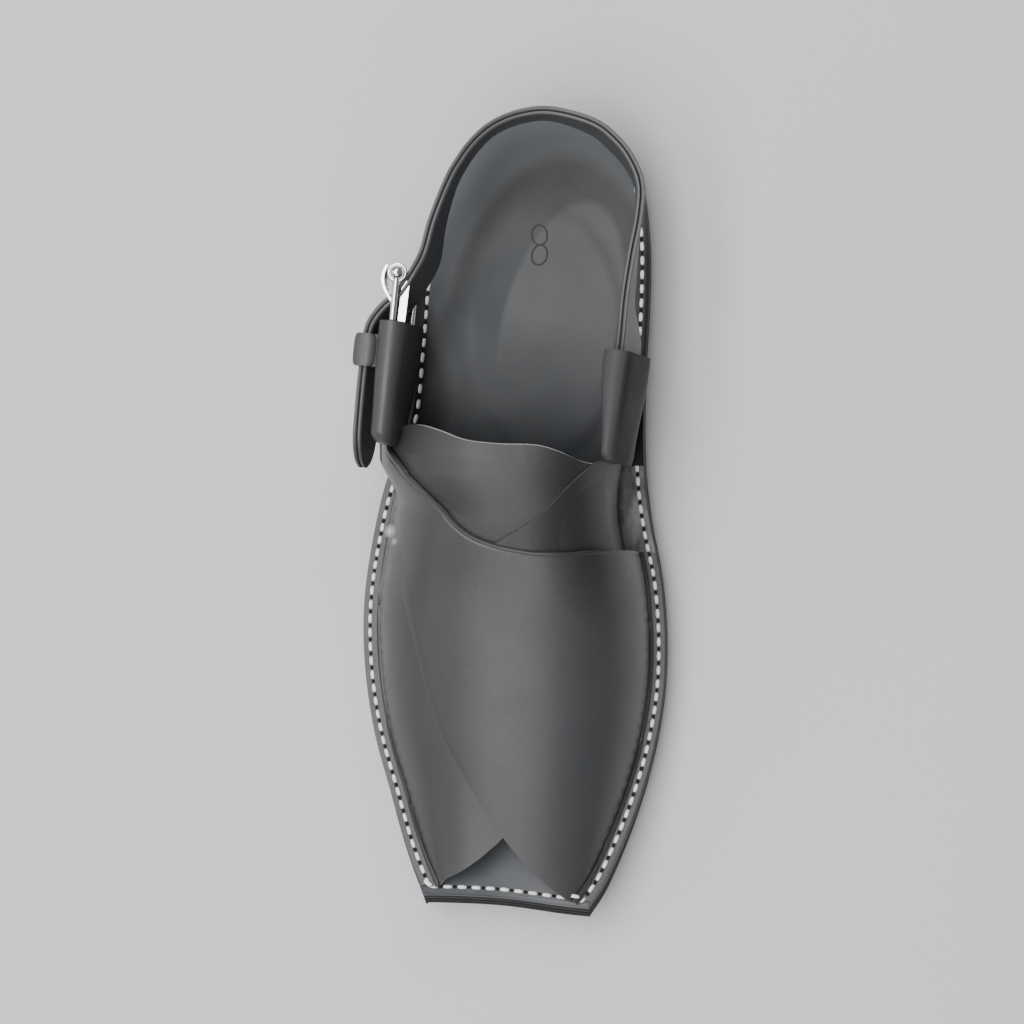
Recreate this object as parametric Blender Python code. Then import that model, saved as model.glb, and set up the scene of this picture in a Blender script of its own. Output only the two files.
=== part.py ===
"""Peshawari chappal for the right foot: a stacked leather and rubber sole, a crossed leather upper,
and a heel strap that buckles on the outer side. Metres, +Z up, toe towards -Y, inner side towards +X."""

import math

import bmesh
import bpy
import numpy as np

# Driving sizes
SOLE_LENGTH = 0.285
BALL_WIDTH = 0.109
INSTEP_HEIGHT = 0.055
TOE_SPRING = 0.015
HEEL_RAISE = 0.010
GAP = 0.0003

# Layers of the sole
OUTSOLE_THICK = 0.0070
MIDSOLE_THICK = 0.0036
INSOLE_THICK = 0.0028
OUTSOLE_TOP = OUTSOLE_THICK
MIDSOLE_LOW = OUTSOLE_TOP + GAP
MIDSOLE_TOP = MIDSOLE_LOW + MIDSOLE_THICK
INSOLE_LOW = MIDSOLE_TOP + GAP
INSOLE_TOP = INSOLE_LOW + INSOLE_THICK

# Where the sole's profile changes, as shares of the length from the toe
SPRING_END = 0.30
RISE_START = 0.42
RISE_SPAN = 0.28
HEEL_BREAST = 0.715
STATION_STEP = 0.025

# Leather of the upper
LEATHER = 0.0018
LAP = 0.0004
FLANGE_EDGE = 0.0016
FLANGE_WIDTH = 0.0080
LAST_REAR = 0.655
LAST_ROWS = 27
LAST_AROUND = 22
EAR_FIRST_ROW = 14
FOOT_STAGGER = 0.2
UNDER_SHORTER = 0.0012

# The toe lies half a length ahead of the middle
TOE_Y = -SOLE_LENGTH / 2

# The sole's edge from the outer toe corner round the heel to the inner toe corner:
# share of the length from the toe, share of the ball width from the middle line
EDGE_ROWS = (
    (0.017, -0.279),
    (0.080, -0.343),
    (0.152, -0.398),
    (0.223, -0.449),
    (0.299, -0.480),
    (0.374, -0.488),
    (0.448, -0.469),
    (0.522, -0.431),
    (0.577, -0.384),
    (0.632, -0.332),
    (0.709, -0.309),
    (0.790, -0.290),
    (0.864, -0.245),
    (0.914, -0.200),
    (0.961, -0.120),
    (0.989, -0.010),
    (1.000, 0.130),
    (0.989, 0.250),
    (0.961, 0.358),
    (0.914, 0.421),
    (0.840, 0.447),
    (0.766, 0.447),
    (0.668, 0.434),
    (0.571, 0.431),
    (0.497, 0.450),
    (0.423, 0.485),
    (0.349, 0.500),
    (0.273, 0.492),
    (0.195, 0.456),
    (0.117, 0.395),
    (0.041, 0.312),
    (0.003, 0.250),
)

# The blunt toe between the two corners, in the same shares
TOE_ROWS = (
    (0.003, 0.250),
    (0.006, 0.170),
    (0.016, -0.040),
    (0.019, -0.250),
    (0.017, -0.279),
)

# The last over the foot: share of the length, outer side and inner side as shares of the ball
# width, crown as a share of the instep height, where the crown sits across, fullness
LAST_TABLE = (
    (0.00, -0.225, 0.200, 0.055, 0.52, 2.00),
    (0.04, -0.268, 0.268, 0.164, 0.52, 2.00),
    (0.10, -0.318, 0.338, 0.345, 0.53, 2.05),
    (0.20, -0.393, 0.417, 0.545, 0.55, 2.15),
    (0.32, -0.442, 0.457, 0.709, 0.56, 2.25),
    (0.42, -0.437, 0.445, 0.855, 0.56, 2.35),
    (0.50, -0.402, 0.408, 0.936, 0.56, 2.50),
    (0.56, -0.392, 0.391, 1.000, 0.56, 2.60),
    (0.66, -0.399, 0.391, 1.036, 0.55, 2.70),
)

# Edges of the leather panels as seen from above: share of the length, share of the ball width
VAMP_REAR = (
    (0.640, -0.600),
    (0.588, -0.402),
    (0.581, -0.385),
    (0.549, -0.318),
    (0.512, -0.247),
    (0.488, -0.181),
    (0.469, -0.113),
    (0.459, -0.045),
    (0.450, 0.086),
    (0.449, 0.219),
    (0.453, 0.352),
    (0.454, 0.600),
)
FREE_EDGE = (
    (0.018, 0.240),
    (0.031, 0.196),
    (0.047, 0.143),
    (0.069, 0.073),
    (0.090, 0.020),
    (0.109, -0.020),
    (0.131, -0.060),
    (0.170, -0.129),
    (0.215, -0.197),
    (0.275, -0.262),
    (0.326, -0.338),
    (0.372, -0.430),
    (0.420, -0.600),
)
OUTER_FRONT = (
    (0.030, -0.600),
    (0.040, -0.285),
    (0.049, -0.255),
    (0.063, -0.188),
    (0.078, -0.120),
    (0.095, -0.062),
    (0.111, -0.014),
    (0.150, 0.080),
    (0.200, 0.180),
    (0.270, 0.320),
    (0.340, 0.600),
)
EAR_REAR = (
    (0.610, -0.600),
    (0.602, -0.383),
    (0.600, -0.323),
    (0.597, -0.284),
    (0.588, -0.211),
    (0.578, -0.137),
    (0.574, -0.041),
    (0.572, 0.119),
    (0.562, 0.200),
    (0.553, 0.272),
    (0.556, 0.330),
    (0.570, 0.600),
)
DIAGONAL = (
    (0.560, 0.310),
    (0.550, 0.290),
    (0.533, 0.253),
    (0.515, 0.208),
    (0.497, 0.156),
    (0.482, 0.102),
    (0.469, 0.047),
    (0.459, -0.005),
    (0.440, -0.060),
    (0.400, -0.150),
)

# Heel strap and the line of the loops that carry it, above the insole
STRAP_HEIGHT = 0.0190
STRAP_THICK = 0.0030
LOOP_RISE = 0.0305

# Buckle on the outer side: a wire frame with an upright at each end, and one flat prong
BUCKLE_SPAN = 0.0184
FRAME_WIRE = 0.0011
FRAME_CLEAR = 0.0007
FRAME_HALF = STRAP_HEIGHT / 2 + FRAME_CLEAR + FRAME_WIRE
FRAME_CORNER = 0.0030
FRONT_BAR_DEPTH = 0.0016
PRONG_WIDTH = 0.0024
PRONG_THICK = 0.0014
PRONG_CLEAR = 0.0008
PRONG_TIP = 0.0016

# Loops: folded leather sleeves wide enough for the strap and tall enough for the buckle's frame
LOOP_SIDE_CLEAR = 0.0016
LOOP_END_CLEAR = 0.0008
LOOP_WIDTH = STRAP_THICK + 2 * (LOOP_SIDE_CLEAR + LEATHER)
LOOP_HEIGHT = 2 * (FRAME_HALF + FRAME_WIRE + LOOP_END_CLEAR + LEATHER)
LOOP_CORNER_STEPS = 6
CORE_REACH = 0.10
OUTER_LEAN = math.radians(-12.0)
INNER_LEAN = math.radians(-18.0)

# Middle line of each loop: share of the length, share of the ball width, share of the loop rise
OUTER_LOOP = (
    (0.5667, -0.3716, 1.10),
    (0.6246, -0.3541, 1.06),
    (0.7249, -0.3275, 1.01),
)
INNER_LOOP = (
    (0.5368, 0.3229, 1.105),
    (0.6140, 0.3514, 1.010),
    (0.6891, 0.3780, 0.955),
)

# Foot of the wall below each loop: the same two shares, and its height above the insole as a
# share of the loop rise; its head lies inside the loop's lower edge
WALL_HEAD = 0.86
OUTER_WALL = (
    (0.5228, -0.3670, 0.020),
    (0.5649, -0.3688, 0.033),
    (0.6000, -0.3532, 0.200),
    (0.6491, -0.3211, 0.295),
    (0.7193, -0.3046, 0.360),
)
INNER_WALL = (
    (0.5088, 0.3780, 0.020),
    (0.5509, 0.3780, 0.020),
    (0.6140, 0.3835, 0.020),
    (0.6842, 0.3927, 0.020),
)

# The strap round the heel: share of the length, share of the ball width, share of the loop rise,
# and its lean in degrees; ahead of these rows it follows the inner loop
STRAP_START = 0.24
HEEL_ROWS = (
    (0.754, 0.390, 0.951, -14.0),
    (0.804, 0.405, 0.951, -10.0),
    (0.849, 0.419, 0.944, -4.0),
    (0.888, 0.419, 0.934, 0.0),
    (0.919, 0.384, 0.925, 3.0),
    (0.942, 0.334, 0.918, 5.0),
    (0.961, 0.266, 0.911, 5.0),
    (0.974, 0.142, 0.905, 5.0),
    (0.971, 0.046, 0.905, 5.0),
    (0.958, -0.037, 0.911, 5.0),
    (0.938, -0.095, 0.918, 6.0),
    (0.916, -0.136, 0.925, 7.0),
    (0.893, -0.168, 0.934, 8.0),
    (0.847, -0.213, 0.951, 10.0),
    (0.807, -0.240, 0.970, 12.0),
)

# Through the buckle: share of the buckle's span from its front bar, and how far out from the
# frame as a share of the room that a strap needs beside a bar
BUCKLE_ROWS = (
    (1.000, -1.36),
    (0.560, 0.00),
    (0.300, 1.44),
    (0.050, 2.38),
)

# The hanging end outside the loop: share of the loop's length from its rear, share of the
# keeper's distance from the loop's middle
KEEPER_AT = 0.23
TAIL_ROWS = (
    (0.10, 0.98),
    (0.23, 1.00),
    (0.45, 1.02),
    (0.75, 1.00),
    (1.06, 0.95),
)

# Keeper that holds the strap's end beside the loop
KEEPER_LENGTH = 0.0110
KEEPER_WALL = 0.0013
KEEPER_CLEAR = 0.0008
KEEPER_WIDTH = STRAP_THICK + 2 * (KEEPER_CLEAR + KEEPER_WALL)
KEEPER_HEIGHT = STRAP_HEIGHT + 2 * (KEEPER_CLEAR + KEEPER_WALL)
KEEPER_OFFSET = LOOP_WIDTH / 2 + GAP + KEEPER_WIDTH / 2

# Tread
GROOVE_DEPTH = 0.0022
GROOVE_WIDTH = 0.0050
FORE_GROOVES = (0.16, 0.22, 0.28, 0.34, 0.40)
HEEL_GROOVES = (0.79, 0.85, 0.91)
GROOVE_SPAN = 0.60

MATERIALS = {}


def clear_scene():
    """Removes every object that the new file opens with."""
    for thing in list(bpy.data.objects):
        bpy.data.objects.remove(thing, do_unlink=True)


def material(name, colour, roughness, metallic=0.0):
    """One Principled material for each finish."""
    if name not in MATERIALS:
        made = bpy.data.materials.new(name)
        made.use_nodes = True
        shader = made.node_tree.nodes["Principled BSDF"]
        shader.inputs["Base Color"].default_value = (*colour, 1.0)
        shader.inputs["Roughness"].default_value = roughness
        shader.inputs["Metallic"].default_value = metallic
        MATERIALS[name] = made
    return MATERIALS[name]


def add_object(name, verts, faces, finish=None):
    """A mesh object from points and faces, with its normals made to agree."""
    mesh = bpy.data.meshes.new(name)
    mesh.from_pydata([tuple(map(float, v)) for v in verts], [], faces)
    work = bmesh.new()
    work.from_mesh(mesh)
    bmesh.ops.remove_doubles(work, verts=work.verts, dist=1e-7)
    bmesh.ops.recalc_face_normals(work, faces=work.faces)
    work.to_mesh(mesh)
    work.free()
    made = bpy.data.objects.new(name, mesh)
    bpy.context.scene.collection.objects.link(made)
    if finish is not None:
        mesh.materials.append(finish)
    return made


def spline(rows, steps):
    """Points of a Catmull-Rom curve through the rows, with a number of steps in each span."""
    given = np.array(rows, float)
    ends = np.vstack([2 * given[0] - given[1], given, 2 * given[-1] - given[-2]])
    points = []
    for i in range(1, len(ends) - 2):
        a, b, c, d = ends[i - 1 : i + 3]
        for u in np.arange(steps) / steps:
            cubic = 3 * b - a - 3 * c + d
            square = 2 * a - 5 * b + 4 * c - d
            points.append(0.5 * (2 * b + (c - a) * u + square * u**2 + cubic * u**3))
    points.append(ends[-2])
    return np.array(points)


def plan(rows):
    """Shares of length and ball width turned into x and y."""
    shares = np.array(rows, float)
    return np.column_stack([shares[:, 1] * BALL_WIDTH, TOE_Y + shares[:, 0] * SOLE_LENGTH])


SOLE_SIDE = plan(spline(EDGE_ROWS, 3))
SOLE_TOE = plan(spline(TOE_ROWS, 2))
SOLE_OUTLINE = np.vstack([SOLE_SIDE, SOLE_TOE[1:-1]])
HEEL_INDEX = int(np.argmax(SOLE_SIDE[:, 1]))
OUTER_SIDE = SOLE_SIDE[: HEEL_INDEX + 1]
INNER_SIDE = SOLE_SIDE[HEEL_INDEX:][::-1]


def rise_at(y):
    """Height of the outsole's underside: toe spring, then flat, then up to the heel seat."""
    share = (y - TOE_Y) / SOLE_LENGTH
    spring = TOE_SPRING * np.clip((SPRING_END - share) / SPRING_END, 0, None) ** 2
    climb = np.clip((share - RISE_START) / RISE_SPAN, 0, 1)
    return spring + HEEL_RAISE * climb**2 * (3 - 2 * climb)


STATIONS = TOE_Y + SOLE_LENGTH * np.arange(-0.05, 1.051, STATION_STEP)
STATION_RISE = rise_at(STATIONS)
STATION_TILT = -np.arctan(np.gradient(STATION_RISE, STATIONS))


def place(x, y, height):
    """A point over the flat plan, bent along with the sole's profile."""
    tilt = np.interp(y, STATIONS, STATION_TILT)
    rise = np.interp(y, STATIONS, STATION_RISE)
    parts = np.broadcast_arrays(x, y + height * np.sin(tilt), rise + height * np.cos(tilt))
    return np.stack(parts, axis=-1)


def inset(outline, distance):
    """A closed plan outline moved inwards by a distance, mitred at its corners."""
    before = np.roll(outline, 1, axis=0)
    after = np.roll(outline, -1, axis=0)
    first = outline - before
    second = after - outline
    first = first / np.linalg.norm(first, axis=1, keepdims=True)
    second = second / np.linalg.norm(second, axis=1, keepdims=True)
    turn = np.array([[0, -1], [1, 0]])
    area = np.sum(outline[:, 0] * after[:, 1] - after[:, 0] * outline[:, 1])
    inward = np.sign(area)
    n1 = first @ turn.T * inward
    n2 = second @ turn.T * inward
    mitre = n1 + n2
    scale = 2 / np.clip(np.sum(mitre * mitre, axis=1, keepdims=True), 0.8, None)
    return outline + mitre * scale * distance


def plate(name, outline, rings, finish):
    """A bent plate: rings of the outline at named insets and heights, capped below and above."""
    work = bmesh.new()
    loops = []
    for distance, height in rings:
        flat = inset(outline, distance)
        loops.append([work.verts.new((x, y, height)) for x, y in flat])
    count = len(outline)
    for low, high in zip(loops, loops[1:]):
        for i in range(count):
            j = (i + 1) % count
            work.faces.new((low[i], low[j], high[j], high[i]))
    work.faces.new(loops[0])
    work.faces.new(loops[-1])
    for y in STATIONS[1:-1]:
        geometry = list(work.verts) + list(work.edges) + list(work.faces)
        bmesh.ops.bisect_plane(work, geom=geometry, dist=1e-6, plane_co=(0, y, 0), plane_no=(0, 1, 0))
    bmesh.ops.remove_doubles(work, verts=work.verts, dist=2e-5)
    for vert in work.verts:
        x, y, height = vert.co
        vert.co = place(x, y, height)
    bmesh.ops.recalc_face_normals(work, faces=work.faces)
    mesh = bpy.data.meshes.new(name)
    work.to_mesh(mesh)
    work.free()
    made = bpy.data.objects.new(name, mesh)
    bpy.context.scene.collection.objects.link(made)
    mesh.materials.append(finish)
    return made


def shell(name, outer, inner):
    """A closed solid between two grids of points that share rows and columns."""
    rows, columns = outer.shape[:2]
    verts = np.vstack([outer.reshape(-1, 3), inner.reshape(-1, 3)])
    back = rows * columns
    faces = []
    for i in range(rows - 1):
        for j in range(columns - 1):
            a = i * columns + j
            faces.append((a, a + 1, a + columns + 1, a + columns))
            faces.append((back + a, back + a + columns, back + a + columns + 1, back + a + 1))
    rim = [j for j in range(columns)]
    rim += [i * columns + columns - 1 for i in range(1, rows)]
    rim += [(rows - 1) * columns + j for j in range(columns - 2, -1, -1)]
    rim += [i * columns for i in range(rows - 2, 0, -1)]
    for k, a in enumerate(rim):
        b = rim[(k + 1) % len(rim)]
        faces.append((a, back + a, back + b, b))
    return add_object(name, verts, faces)


def smooth_column(at, column):
    """One column of the last's table as a smooth curve along the length."""
    table = np.array(LAST_TABLE)
    share, value = table[:, 0], table[:, column]
    slope = np.gradient(value, share)
    i = np.clip(np.searchsorted(share, at) - 1, 0, len(share) - 2)
    span = share[i + 1] - share[i]
    u = (at - share[i]) / span
    low = value[i] * (2 * u**3 - 3 * u**2 + 1) + slope[i] * span * (u**3 - 2 * u**2 + u)
    return low + value[i + 1] * (3 * u**2 - 2 * u**3) + slope[i + 1] * span * (u**3 - u**2)


def last_grid():
    """The last's surface as rows of points around the foot, from the toe to behind the ears."""
    share = np.linspace(0, LAST_REAR, LAST_ROWS)[:, None]
    angle = np.linspace(0, math.pi, LAST_AROUND)[None, :]
    outer = smooth_column(share, 1) * BALL_WIDTH
    inner = smooth_column(share, 2) * BALL_WIDTH
    middle = outer + (inner - outer) * smooth_column(share, 4)
    power = 2 / smooth_column(share, 5)
    cosine, sine = np.cos(angle), np.sin(angle)
    half = np.where(cosine > 0, middle - outer, inner - middle)
    x = middle - np.sign(cosine) * half * np.abs(cosine) ** power
    foot = INSOLE_TOP + GAP + LEATHER / 2
    height = foot + smooth_column(share, 3) * INSTEP_HEIGHT * np.abs(sine) ** power
    return place(x, TOE_Y + share * SOLE_LENGTH, height)


def grid_normals(grid):
    """Outward normals of a grid that runs toe to heel and outer side to inner side."""
    along = np.gradient(grid, axis=0)
    around = np.gradient(grid, axis=1)
    normal = np.cross(around, along)
    normal /= np.linalg.norm(normal, axis=2, keepdims=True)
    crown = normal[:, normal.shape[1] // 2, 2]
    return normal * np.sign(crown.mean())


def leather_layer(name, low, first_row, last_row):
    """One layer of the upper over the last, its inner face at a height; each foot ends on its own."""
    grid = last_grid()
    normal = grid_normals(grid)
    rows = slice(first_row, last_row)
    outer = (grid + normal * (low + LEATHER))[rows]
    inner = (grid + normal * low)[rows]
    for face in (outer, inner):
        face[:, [0, -1], 2] += low * FOOT_STAGGER
    return shell(name, outer, inner)


def prism(name, outline):
    """An upright cutter over a plan outline, kept out of the model."""
    bottom, top = -0.02, 0.16
    count = len(outline)
    verts = [(x, y, bottom) for x, y in outline] + [(x, y, top) for x, y in outline]
    faces = [tuple(range(count)), tuple(range(count, 2 * count))]
    faces += [(i, (i + 1) % count, (i + 1) % count + count, i + count) for i in range(count)]
    return add_object(name, verts, faces)


def behind(edge, reach=0.12):
    """Plan outline of all that lies behind an edge curve."""
    line = plan(spline(edge, 2))
    rear = line[[-1, 0]] + np.array([0, reach])
    return np.vstack([line, rear])


def ahead_of(edge, reach=0.12):
    """Plan outline of all that lies ahead of an edge curve."""
    line = plan(spline(edge, 2))
    front = line[[-1, 0]] - np.array([0, reach])
    return np.vstack([line, front])


def boolean(target, tool, operation, solver="EXACT"):
    """Applies one Boolean and removes the tool."""
    step = target.modifiers.new("cut", "BOOLEAN")
    step.object = tool
    step.operation = operation
    step.solver = solver
    graph = bpy.context.evaluated_depsgraph_get()
    result = bpy.data.meshes.new_from_object(target.evaluated_get(graph))
    target.modifiers.remove(step)
    old = target.data
    target.data = result
    bpy.data.meshes.remove(old)
    bpy.data.objects.remove(tool, do_unlink=True)


def tidy(target, distance):
    """Merges points that lie closer than a distance and dissolves what that leaves flat."""
    work = bmesh.new()
    work.from_mesh(target.data)
    bmesh.ops.remove_doubles(work, verts=work.verts, dist=distance)
    bmesh.ops.dissolve_degenerate(work, dist=distance, edges=work.edges)
    bmesh.ops.recalc_face_normals(work, faces=work.faces)
    work.to_mesh(target.data)
    work.free()


def rounded_ring(width, height, steps):
    """A racetrack outline, tall in its second column, as points round its middle."""
    radius = width / 2
    straight = height / 2 - radius
    top = np.linspace(0, math.pi, steps + 1)
    arc = np.column_stack([radius * np.cos(top), straight + radius * np.sin(top)])
    return np.vstack([arc, -arc])


def leaning(ring, lean, side):
    """Turns ring points by the lean and spreads them along a level side direction."""
    across = ring[:, 0] * math.cos(lean) + ring[:, 1] * math.sin(lean)
    up = ring[:, 1] * math.cos(lean) - ring[:, 0] * math.sin(lean)
    return across[:, None] * side + up[:, None] * np.array([0, 0, 1.0])


def path_sides(points):
    """Level direction square to the path at each of its points."""
    tangent = np.gradient(points, axis=0)
    tangent[:, 2] = 0
    tangent /= np.linalg.norm(tangent, axis=1, keepdims=True)
    return np.column_stack([tangent[:, 1], -tangent[:, 0], np.zeros(len(points))])


def swept(name, points, rings, finish=None):
    """A solid whose rings of points follow one another along a path, closed at both ends."""
    count = len(rings[0])
    verts = np.vstack(rings)
    faces = []
    for k in range(len(points) - 1):
        for i in range(count):
            j = (i + 1) % count
            a, b = k * count + i, k * count + j
            faces.append((a, b, b + count, a + count))
    last = (len(points) - 1) * count
    faces.append(tuple(range(count)))
    faces.append(tuple(range(last, last + count)))
    return add_object(name, verts, faces, finish)


def tube(name, points, lean, outer_ring, inner_ring, finish=None):
    """A hollow sleeve along a path: an outer and an inner ring at each point, open at both ends."""
    sides = path_sides(points)
    verts, faces = [], []
    for point, side in zip(points, sides):
        verts.append(point + leaning(outer_ring, lean, side))
        verts.append(point + leaning(inner_ring, lean, side))
    count = len(outer_ring)
    for k in range(len(points)):
        for i in range(count):
            j = (i + 1) % count
            outer, inner = 2 * k * count, (2 * k + 1) * count
            if k + 1 < len(points):
                step = 2 * count
                faces.append((outer + i, outer + j, outer + j + step, outer + i + step))
                faces.append((inner + i, inner + j, inner + j + step, inner + i + step))
            if k in (0, len(points) - 1):
                faces.append((outer + i, outer + j, inner + j, inner + i))
    return add_object(name, np.vstack(verts), faces, finish)


def side_x(side, y):
    """Where one side of the sole's edge lies at a length."""
    return np.interp(y, side[:, 1], side[:, 0])


def flange(name, side, first, final, inward):
    """The turned-out foot of the upper along one side, flat on the insole."""
    y = TOE_Y + SOLE_LENGTH * np.linspace(first, final, 18)
    edge = side_x(side, y) + inward * FLANGE_EDGE
    inner = edge + inward * FLANGE_WIDTH
    low = INSOLE_TOP + GAP
    bottom = np.stack([place(edge, y, low), place(inner, y, low)], axis=1)
    top = np.stack([place(edge, y, low + LEATHER), place(inner, y, low + LEATHER)], axis=1)
    return shell(name, top, bottom)


def loop_axis(rows):
    """The middle line of a loop, from its front end to its rear end."""
    along, across, height = np.array(rows).T
    y = TOE_Y + along * SOLE_LENGTH
    z = rise_at(y) + INSOLE_TOP + height * LOOP_RISE
    return np.column_stack([across * BALL_WIDTH, y, z])


def side_wall(name, rows, axis, lean):
    """A leather wall from its foot over the insole up into the loop's lower edge."""
    along, across, above = np.array(rows).T
    y = TOE_Y + along * SOLE_LENGTH
    foot_z = rise_at(y) + INSOLE_TOP + GAP + above * LOOP_RISE
    foot = np.column_stack([across * BALL_WIDTH, y, foot_z])
    drop = WALL_HEAD * LOOP_HEIGHT / 2
    head_x = np.interp(y, axis[:, 1], axis[:, 0]) - drop * math.sin(lean)
    head_z = np.interp(y, axis[:, 1], axis[:, 2]) - drop * math.cos(lean)
    head = np.column_stack([head_x, y, head_z])
    steps = np.linspace(0, 1, 4)[None, :, None]
    grid = foot[:, None, :] * (1 - steps) + head[:, None, :] * steps
    across = np.array([LEATHER / 2, 0, 0])
    return shell(name, grid + across, grid - across)


def build_sole():
    """The stacked sole: rubber outsole and heel lift, leather midsole and insole."""
    rubber = material("sole_rubber", (0.020, 0.020, 0.021), 0.62)
    leather = material("sole_leather", (0.030, 0.030, 0.032), 0.45)
    lining = material("insole_leather", (0.060, 0.062, 0.066), 0.40)
    outsole_rings = (
        (0.0012, 0.0),
        (0.0, 0.0012),
        (0.0, 0.0036),
        (0.0007, 0.0042),
        (0.0, 0.0048),
        (0.0, OUTSOLE_TOP),
    )
    outsole = plate("outsole", SOLE_OUTLINE, outsole_rings, rubber)
    for share in FORE_GROOVES:
        cut_groove(outsole, share, 0.0)
    midsole_rings = ((0.0006, MIDSOLE_LOW), (0.0002, MIDSOLE_LOW + 0.0006), (0.0002, MIDSOLE_TOP))
    plate("midsole", SOLE_OUTLINE, midsole_rings, leather)
    top = INSOLE_TOP
    insole_rings = ((0.0004, INSOLE_LOW), (0.0004, top - 0.0012), (0.0008, top - 0.0004), (0.0016, top))
    plate("insole", SOLE_OUTLINE, insole_rings, lining)
    breast = TOE_Y + HEEL_BREAST * SOLE_LENGTH
    rear = SOLE_SIDE[SOLE_SIDE[:, 1] > breast]
    corners = [[side_x(OUTER_SIDE, breast), breast], [side_x(INNER_SIDE, breast), breast]]
    seat = np.vstack([corners[:1], rear, corners[1:]])
    seat_low, seat_high = -HEEL_RAISE, -GAP
    heel_rings = ((0.0014, seat_low), (0.0002, seat_low + 0.0012), (0.0008, seat_high))
    heel = plate("heel_lift", seat, heel_rings, rubber)
    for share in HEEL_GROOVES:
        cut_groove(heel, share, seat_low)


def cut_groove(sole, share, bottom):
    """Cuts one cross groove of the tread at a share of the length."""
    y = TOE_Y + share * SOLE_LENGTH
    x0, x1 = side_x(OUTER_SIDE, y), side_x(INNER_SIDE, y)
    middle, half = (x0 + x1) / 2, (x1 - x0) / 2 * GROOVE_SPAN
    low = bottom - GROOVE_DEPTH
    high = bottom + GROOVE_DEPTH
    verts = []
    for height in (low, high):
        for x, dy in ((-half, 0), (half, 0), (half, GROOVE_WIDTH), (-half, GROOVE_WIDTH)):
            verts.append(place(middle + x, y + dy, height))
    faces = [(0, 1, 2, 3), (4, 5, 6, 7), (0, 1, 5, 4), (1, 2, 6, 5), (2, 3, 7, 6), (3, 0, 4, 7)]
    boolean(sole, add_object("groove", verts, faces), "DIFFERENCE")


def build_upper():
    """The crossed upper as one hollow solid: vamp, ears, loops and the walls below them."""
    leather = material("upper_leather", (0.045, 0.046, 0.048), 0.36)
    step = LEATHER - LAP
    vamp = leather_layer("upper", 0.0, 0, LAST_ROWS)
    boolean(vamp, prism("cutter", behind(VAMP_REAR)), "DIFFERENCE")
    boolean(vamp, prism("cutter", ahead_of(FREE_EDGE)), "DIFFERENCE")
    under = leather_layer("under", -step, 0, LAST_ROWS)
    under_rear = behind(VAMP_REAR) - np.array([0, UNDER_SHORTER])
    boolean(under, prism("cutter", under_rear), "DIFFERENCE")
    boolean(under, prism("cutter", ahead_of(OUTER_FRONT)), "DIFFERENCE")
    inner_ear = leather_layer("inner_ear", -step - LAP / 2, EAR_FIRST_ROW, LAST_ROWS)
    inner_rear = behind(EAR_REAR) - np.array([0, UNDER_SHORTER])
    boolean(inner_ear, prism("cutter", inner_rear), "DIFFERENCE")
    diagonal = plan(spline(DIAGONAL, 2))
    keep_off = np.vstack([diagonal, [(-0.09, diagonal[-1, 1]), (-0.09, 0.09), (diagonal[0, 0], 0.09)]])
    boolean(inner_ear, prism("cutter", keep_off), "DIFFERENCE")
    outer_ear = leather_layer("outer_ear", -2 * step, EAR_FIRST_ROW + 1, LAST_ROWS)
    boolean(outer_ear, prism("cutter", behind(EAR_REAR)), "DIFFERENCE")
    pieces = [under, inner_ear, outer_ear]
    pieces.append(flange("outer_flange", OUTER_SIDE, 0.035, 0.56, 1))
    pieces.append(flange("inner_flange", INNER_SIDE, 0.022, 0.69, -1))
    outer_ring = rounded_ring(LOOP_WIDTH, LOOP_HEIGHT, LOOP_CORNER_STEPS)
    wall = 2 * LEATHER
    inner_ring = rounded_ring(LOOP_WIDTH - wall, LOOP_HEIGHT - wall, LOOP_CORNER_STEPS)
    cores = []
    sides_of_foot = ((OUTER_LOOP, OUTER_WALL, OUTER_LEAN), (INNER_LOOP, INNER_WALL, INNER_LEAN))
    for loop_rows, wall_rows, lean in sides_of_foot:
        points = loop_axis(loop_rows)
        pieces.append(side_wall("wall", wall_rows, points, lean))
        pieces.append(tube("loop", points, lean, outer_ring, inner_ring))
        core = points.copy()
        core[0] -= (points[1] - points[0]) * CORE_REACH
        core[-1] += (points[-1] - points[-2]) * CORE_REACH
        sides = path_sides(core)
        rings = [point + leaning(inner_ring, lean, side) for point, side in zip(core, sides)]
        cores.append(swept("core", core, rings))
    for piece in pieces:
        boolean(vamp, piece, "UNION", "MANIFOLD")
    for core in cores:
        boolean(vamp, core, "DIFFERENCE", "MANIFOLD")
    tidy(vamp, 1e-6)
    vamp.data.materials.clear()
    vamp.data.materials.append(leather)


def buckle_place():
    """The buckle frame's front bar, the level direction to its rear bar, and the way outwards."""
    axis = loop_axis(OUTER_LOOP)
    along = axis[-1] - axis[-2]
    along[2] = 0
    along /= np.linalg.norm(along)
    outward = np.array([-along[1], along[0], 0])
    return axis[-1] - along * FRONT_BAR_DEPTH, along, outward


def beside_loop(share, distance):
    """A point at a share of the outer loop's length from its rear, and a distance outside it."""
    axis = loop_axis(OUTER_LOOP)
    reach = share * (axis[-1, 1] - axis[0, 1])
    y = axis[-1, 1] - reach
    slope = (axis[-1, 0] - axis[0, 0]) / (axis[-1, 1] - axis[0, 1])
    x = axis[-1, 0] - slope * reach
    z = np.interp(y, axis[:, 1], axis[:, 2])
    outward = np.array([-1.0, slope, 0]) / math.hypot(1, slope)
    return np.array([x, y, z]) + outward * distance


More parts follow.
